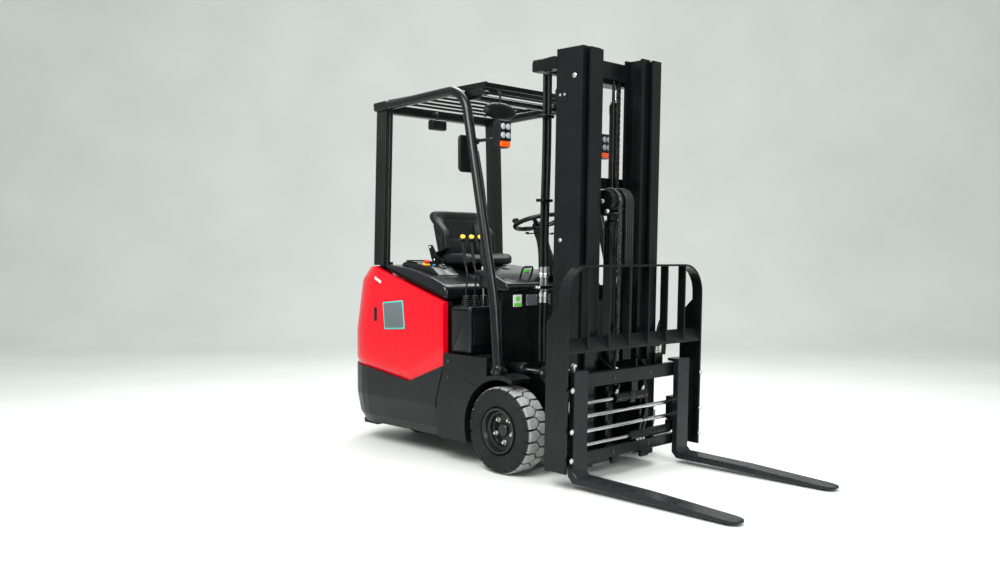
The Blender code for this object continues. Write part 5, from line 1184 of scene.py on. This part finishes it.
def mast():
    """Masthead brackets, rollers, bolts, hoses, chains and cylinders."""
    for word, s in SIDES:
        cylinder(f"{word}_lift_cylinder", f"{word}_lift_barrel", "mast_outer", (s * RAM_X, RAM_Y, 0),
                0.0855, 1.980, 0.028)
    cylinder("free_lift_cylinder", "free_lift_barrel", "mast_inner", (0.0, -0.289, 0), 0.110, 1.330, 0.036)
    spots = ((-0.278, -0.050), (-0.257, -0.042), (-0.243, -0.060), (-0.266, -0.072))
    lines = [tube(flow([(x, y, 2.090), (x + 0.003, y, 1.7), (x, y + 0.003, 1.3), (x, y, 1.070)], 40),
            0.0085, 14) for x, y in spots]
    lines += [tube(flow([(x, y, 0.890), (x, y + 0.002, 0.76), (x, y - 0.002, 0.575)], 20), 0.0085, 14)
            for x, y in spots]
    make("mast_hose_lines", lines, HOSE, "mast_outer", raised, stands=("mast_hoses",))
    ends = [fitting((x, y, 1.022), (0, 0, 1), 0.0115, 0.056) for x,
            y in spots] + [fitting((x, y, 0.942), (0, 0, -1), 0.0115, 0.056) for x, y in spots]
    ends += [tube([(x, y, 0.935), (x, y, 0.98), (x, y, 1.030)], 0.0055, 12) for x, y in spots]
    make("mast_hose_unions", ends, ZINC, "mast_outer", raised)
    clamps = [soft_block((-0.308, -0.084, z), (-0.232, -0.030, z + 0.016), 0.003, 3, 4)
            for z in (1.42, 1.86)]
    clamps.append(soft_block((-0.322, -0.086, 0.962), (-0.228, -0.028, 0.978), 0.002, 3, 4))
    make("mast_hose_clamps", clamps, BLACK, "mast_outer", raised)
    heads = [(-0.3225, y, 0.970) for y in (-0.060, -0.078)]
    make("mast_clamp_bolts", bolts(heads, (-1, 0, 0), 0.006, 0.005), ZINC, "mast_outer", raised)
    sides = [(s * MAST_SIDE, y, z) for s in (-1, 1) for y, z in ((-0.205, 1.960), (-0.235, 1.960),
            (-0.220, 0.30), (-0.220, 1.22))]
    make("mast_side_bolts", [bolts([p], (np.sign(p[0]), 0, 0), 0.0075, 0.006) for p in sides], ZINC,
            "mast_outer", raised)
    plate = [plump(oblong((-0.250, 1.925), (-0.170, 1.995)), s * 0.3215 - 0.0018, s * 0.3215 + 0.0018,
            0.001, 0.010) for s in (-1, 1)]
    plate += [plump([(-0.172, 2.098), (-0.004, 2.098), (-0.004, 2.150), (-0.140, 2.163), (-0.172, 2.163)],
            s * 0.3225 - 0.0028, s * 0.3225 + 0.0028, 0.001, 0.006) for s in (-1, 1)]
    make("mast_side_plates", plate, BLACK, "mast_outer", raised)
    shim = [lathe([(0, 0), (0, 0.013), (0.004, 0.013), (0.006, 0.009), (0.006, 0)], (s * 0.3210, -0.300, z),
            (s, 0, 0), 24) for s in (-1, 1) for z in (0.55, 2.05)]
    make("mast_roller_pins", shim, ZINC, "mast_outer", raised)
    for word, s in SIDES:
        make(f"{word}_ram_gland", lathe([(1.974, 0.019), (1.982, 0.025), (1.990, 0.024), (1.994, 0.0195),
                (1.994, 0.0)], (s * RAM_X, RAM_Y, 0), (0, 0, 1), 32), ZINC, "mast_outer", raised)
    chain("left_mast_chain", "mast_middle", 0.148, -0.205, 1.02, 2.10, 0.020)
    chain("right_mast_chain", "mast_middle", -0.148, -0.205, 1.02, 2.10, 0.020)
    left = flow([(0.090, -0.215, 2.10), (0.093, -0.213, 1.9), (0.091, -0.216, 1.6), (0.092, -0.214, 1.2),
            (0.092, -0.214, 1.02)], 60)
    make("mast_inner_hose", [tube(left, 0.0075, 12), tube(left * (-1, 1, 1), 0.0075, 12)], HOSE,
            "mast_middle", raised)
    chain("carriage_leaf_chain", "crosshead", -0.0625, CHAIN_Y, 0.604, SHEAVE_Z, 0.016,
            ("free_lift_chain",))
    across = (-0.011, 0.006, 0.023, 0.040)
    hoses = [tube([(x, CHAIN_Y, 0.600), (x + 0.001, CHAIN_Y, 1.0), (x, CHAIN_Y, SHEAVE_Z)], 0.0072, 14)
            for x in across]
    loop = [tube(over_sheave(x), 0.0072, 14) for x in across]
    make("carriage_hose_lines", hoses, HOSE, "crosshead", raised, stands=("carriage_hoses",))
    make("carriage_hose_loops", loop, HOSE, "crosshead", raised)
    links = [soft_block(p - (0.0095, 0.0055, 0.0055), p + (0.0095, 0.0055, 0.0055), 0.003, 3, 3)
            for p in over_sheave(-0.0625)[1:-1]]
    make("carriage_chain_arc", links, CHAIN, "crosshead", raised)
    cheek = [(-0.1255, y, z) for y, z in ((-0.300, 1.372), (SHEAVE_Y, SHEAVE_Z), (-0.366, 1.372))]
    make("crosshead_bolts", bolts(cheek, (-1, 0, 0), 0.010, 0.008), ZINC, "crosshead", raised)


mast()


def tilt():
    """Tilt barrels with their end collars, and a grease nipple on each rod eye."""
    for word, s in SIDES:
        low, high = (np.array(c) - (0.0, AXLE_Y, 0.0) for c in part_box(f"{word}_tilt_barrel"))
        x, z = s * TILT_X, (low[2] + high[2]) / 2
        profile = [(low[1], 0), (low[1], 0.036), (low[1] + 0.006, 0.0398), (low[1] + 0.050, 0.0398),
                (low[1] + 0.054, 0.0375), (high[1] - 0.05, 0.0375), (high[1] - 0.046, 0.0398),
                   (high[1] - 0.004, 0.0398), (high[1], 0.034), (high[1], 0)]
        make(f"{word}_tilt_cylinder", lathe(profile, (x, 0, z), (0, 1, 0), 40), BLACK,
                f"{word}_tilt_barrel", stands=(f"{word}_tilt_barrel",))
        make(f"{word}_tilt_nipple", [lathe([(0, 0), (0, 0.0042), (0.006, 0.0042), (0.009, 0.0024),
                (0.012, 0.0032), (0.013, 0)], (x, TILT_EYE_Y + 0.012, z + 0.0215), (0, 0.2, 1), 14)],
             YELLOW, f"{word}_tilt_rod")


tilt()


# ---------------------------------------------------------------- carriage

def carriage():
    """Carriage bolts, positioner cylinders, hoses, fittings and knob."""
    face = CARRIAGE_FACE
    heads = [(x, face - 0.0002, z) for x in (-0.15, 0.15) for z in (0.142, 0.526)]
    make("carriage_bolts", bolts(heads, (0, -1, 0), 0.008, 0.004), STEEL, "carriage", raised)
    barrel = [lathe([(-0.130, 0), (-0.130, 0.022), (-0.122, 0.0243), (-0.096, 0.0243), (-0.092, 0.0225),
            (0.096, 0.0225), (0.100, 0.0243), (0.124, 0.0243), (0.132, 0.021), (0.132, 0)],
                    (0, -0.4376, 0.412), (1, 0, 0), 36)]
    barrel.append(soft_block((-0.020, -0.463, 0.380), (0.020, -0.446, 0.440), 0.004, 3, 4))
    make("right_positioner_cylinder", barrel, BLACK, "carriage", raised)
    unions = [fitting((x, -0.4376, 0.434), (0, -0.3, 1), 0.0085, 0.026) for x in (-0.108, 0.110)]
    unions += [fitting((x, face + 0.010, 0.170), (0, 0, 1), 0.0085, 0.028) for x in (0.062, 0.088, 0.114)]
    unions += [fitting((x, -0.395, 0.612), (0, 0, 1), 0.0085, 0.040) for x in (0.282, 0.306)]
    make("carriage_unions", unions, ZINC, "carriage", raised)
    make("carriage_valve", [soft_block((0.264, -0.404, 0.520), (0.332, -0.385, 0.614), 0.004, 3, 4),
            soft_block((0.045, -0.4555, 0.150), (0.132, -0.4376, 0.172), 0.004, 3, 4)],
         BLACK, "carriage", raised)
    hoses = [tube(flow([(-0.108, -0.4455, 0.458), (-0.098, -0.447, 0.480), (-0.090, -0.420, 0.500),
            (-0.085, -0.405, 0.560), (-0.085, -0.402, 0.600)], 40), 0.0062, 12),
             tube(flow([(0.110, -0.4455, 0.458), (0.112, -0.446, 0.480), (0.105, -0.420, 0.500),
                     (0.098, -0.405, 0.560), (0.098, -0.402, 0.600)], 40), 0.0062, 12),
             tube(flow([(0.088, face + 0.010, 0.196), (0.090, -0.444, 0.24), (0.140, -0.440, 0.31),
                     (0.150, -0.425, 0.40), (0.150, -0.405, 0.52), (0.150, -0.402, 0.590)], 50), 0.0062,
                     12),
             tube(flow([(0.114, face + 0.010, 0.196), (0.116, -0.446, 0.23), (0.152, -0.440, 0.29),
                     (0.164, -0.425, 0.40), (0.165, -0.405, 0.52), (0.165, -0.402, 0.590)], 50), 0.0062,
                     12)]
    hoses += [tube(flow([(0.282 + k, -0.395, 0.650), (0.282 + k, -0.397, 0.72),
            (0.300 + 0.6 * k, -0.402, 0.785 - 0.5 * k), (0.324, -0.404, 0.803 - 0.9 * k),
                         (0.346 - 0.6 * k, -0.402, 0.785 - 0.5 * k), (0.360 - k, -0.397, 0.72),
                                 (0.358 - k, -0.394, 0.600)], 60), 0.0068, 12) for k in (0.0, 0.020)]
    make("carriage_hose_runs", hoses, HOSE, "carriage", raised)
    make("fork_lock_knob", lathe([(-0.006, 0), (-0.006, 0.007), (0.012, 0.007), (0.014, 0.014),
            (0.026, 0.014), (0.030, 0.009), (0.030, 0)], (-0.455, -0.450, 0.588), (0, 0, 1), 24), ZINC,
            "right_fork", raised)
    hooks = [plump([(face + 0.001, 0.078), (face + 0.020, 0.078), (face + 0.026, 0.116),
            (face + 0.001, 0.120)], x - 0.030, x + 0.030, 0.002, 0.006) for x in (-0.12, 0.12)]
    make("carriage_lower_hooks", hooks, BLACK, "carriage", raised)
    rest = [(x, -0.5145, z) for x in (-0.535, 0.535) for z in (0.16, 0.30, 0.50)]
    make("backrest_bolts", bolts(rest, (0, -1, 0), 0.009, 0.007), ZINC, "carriage", raised)


carriage()
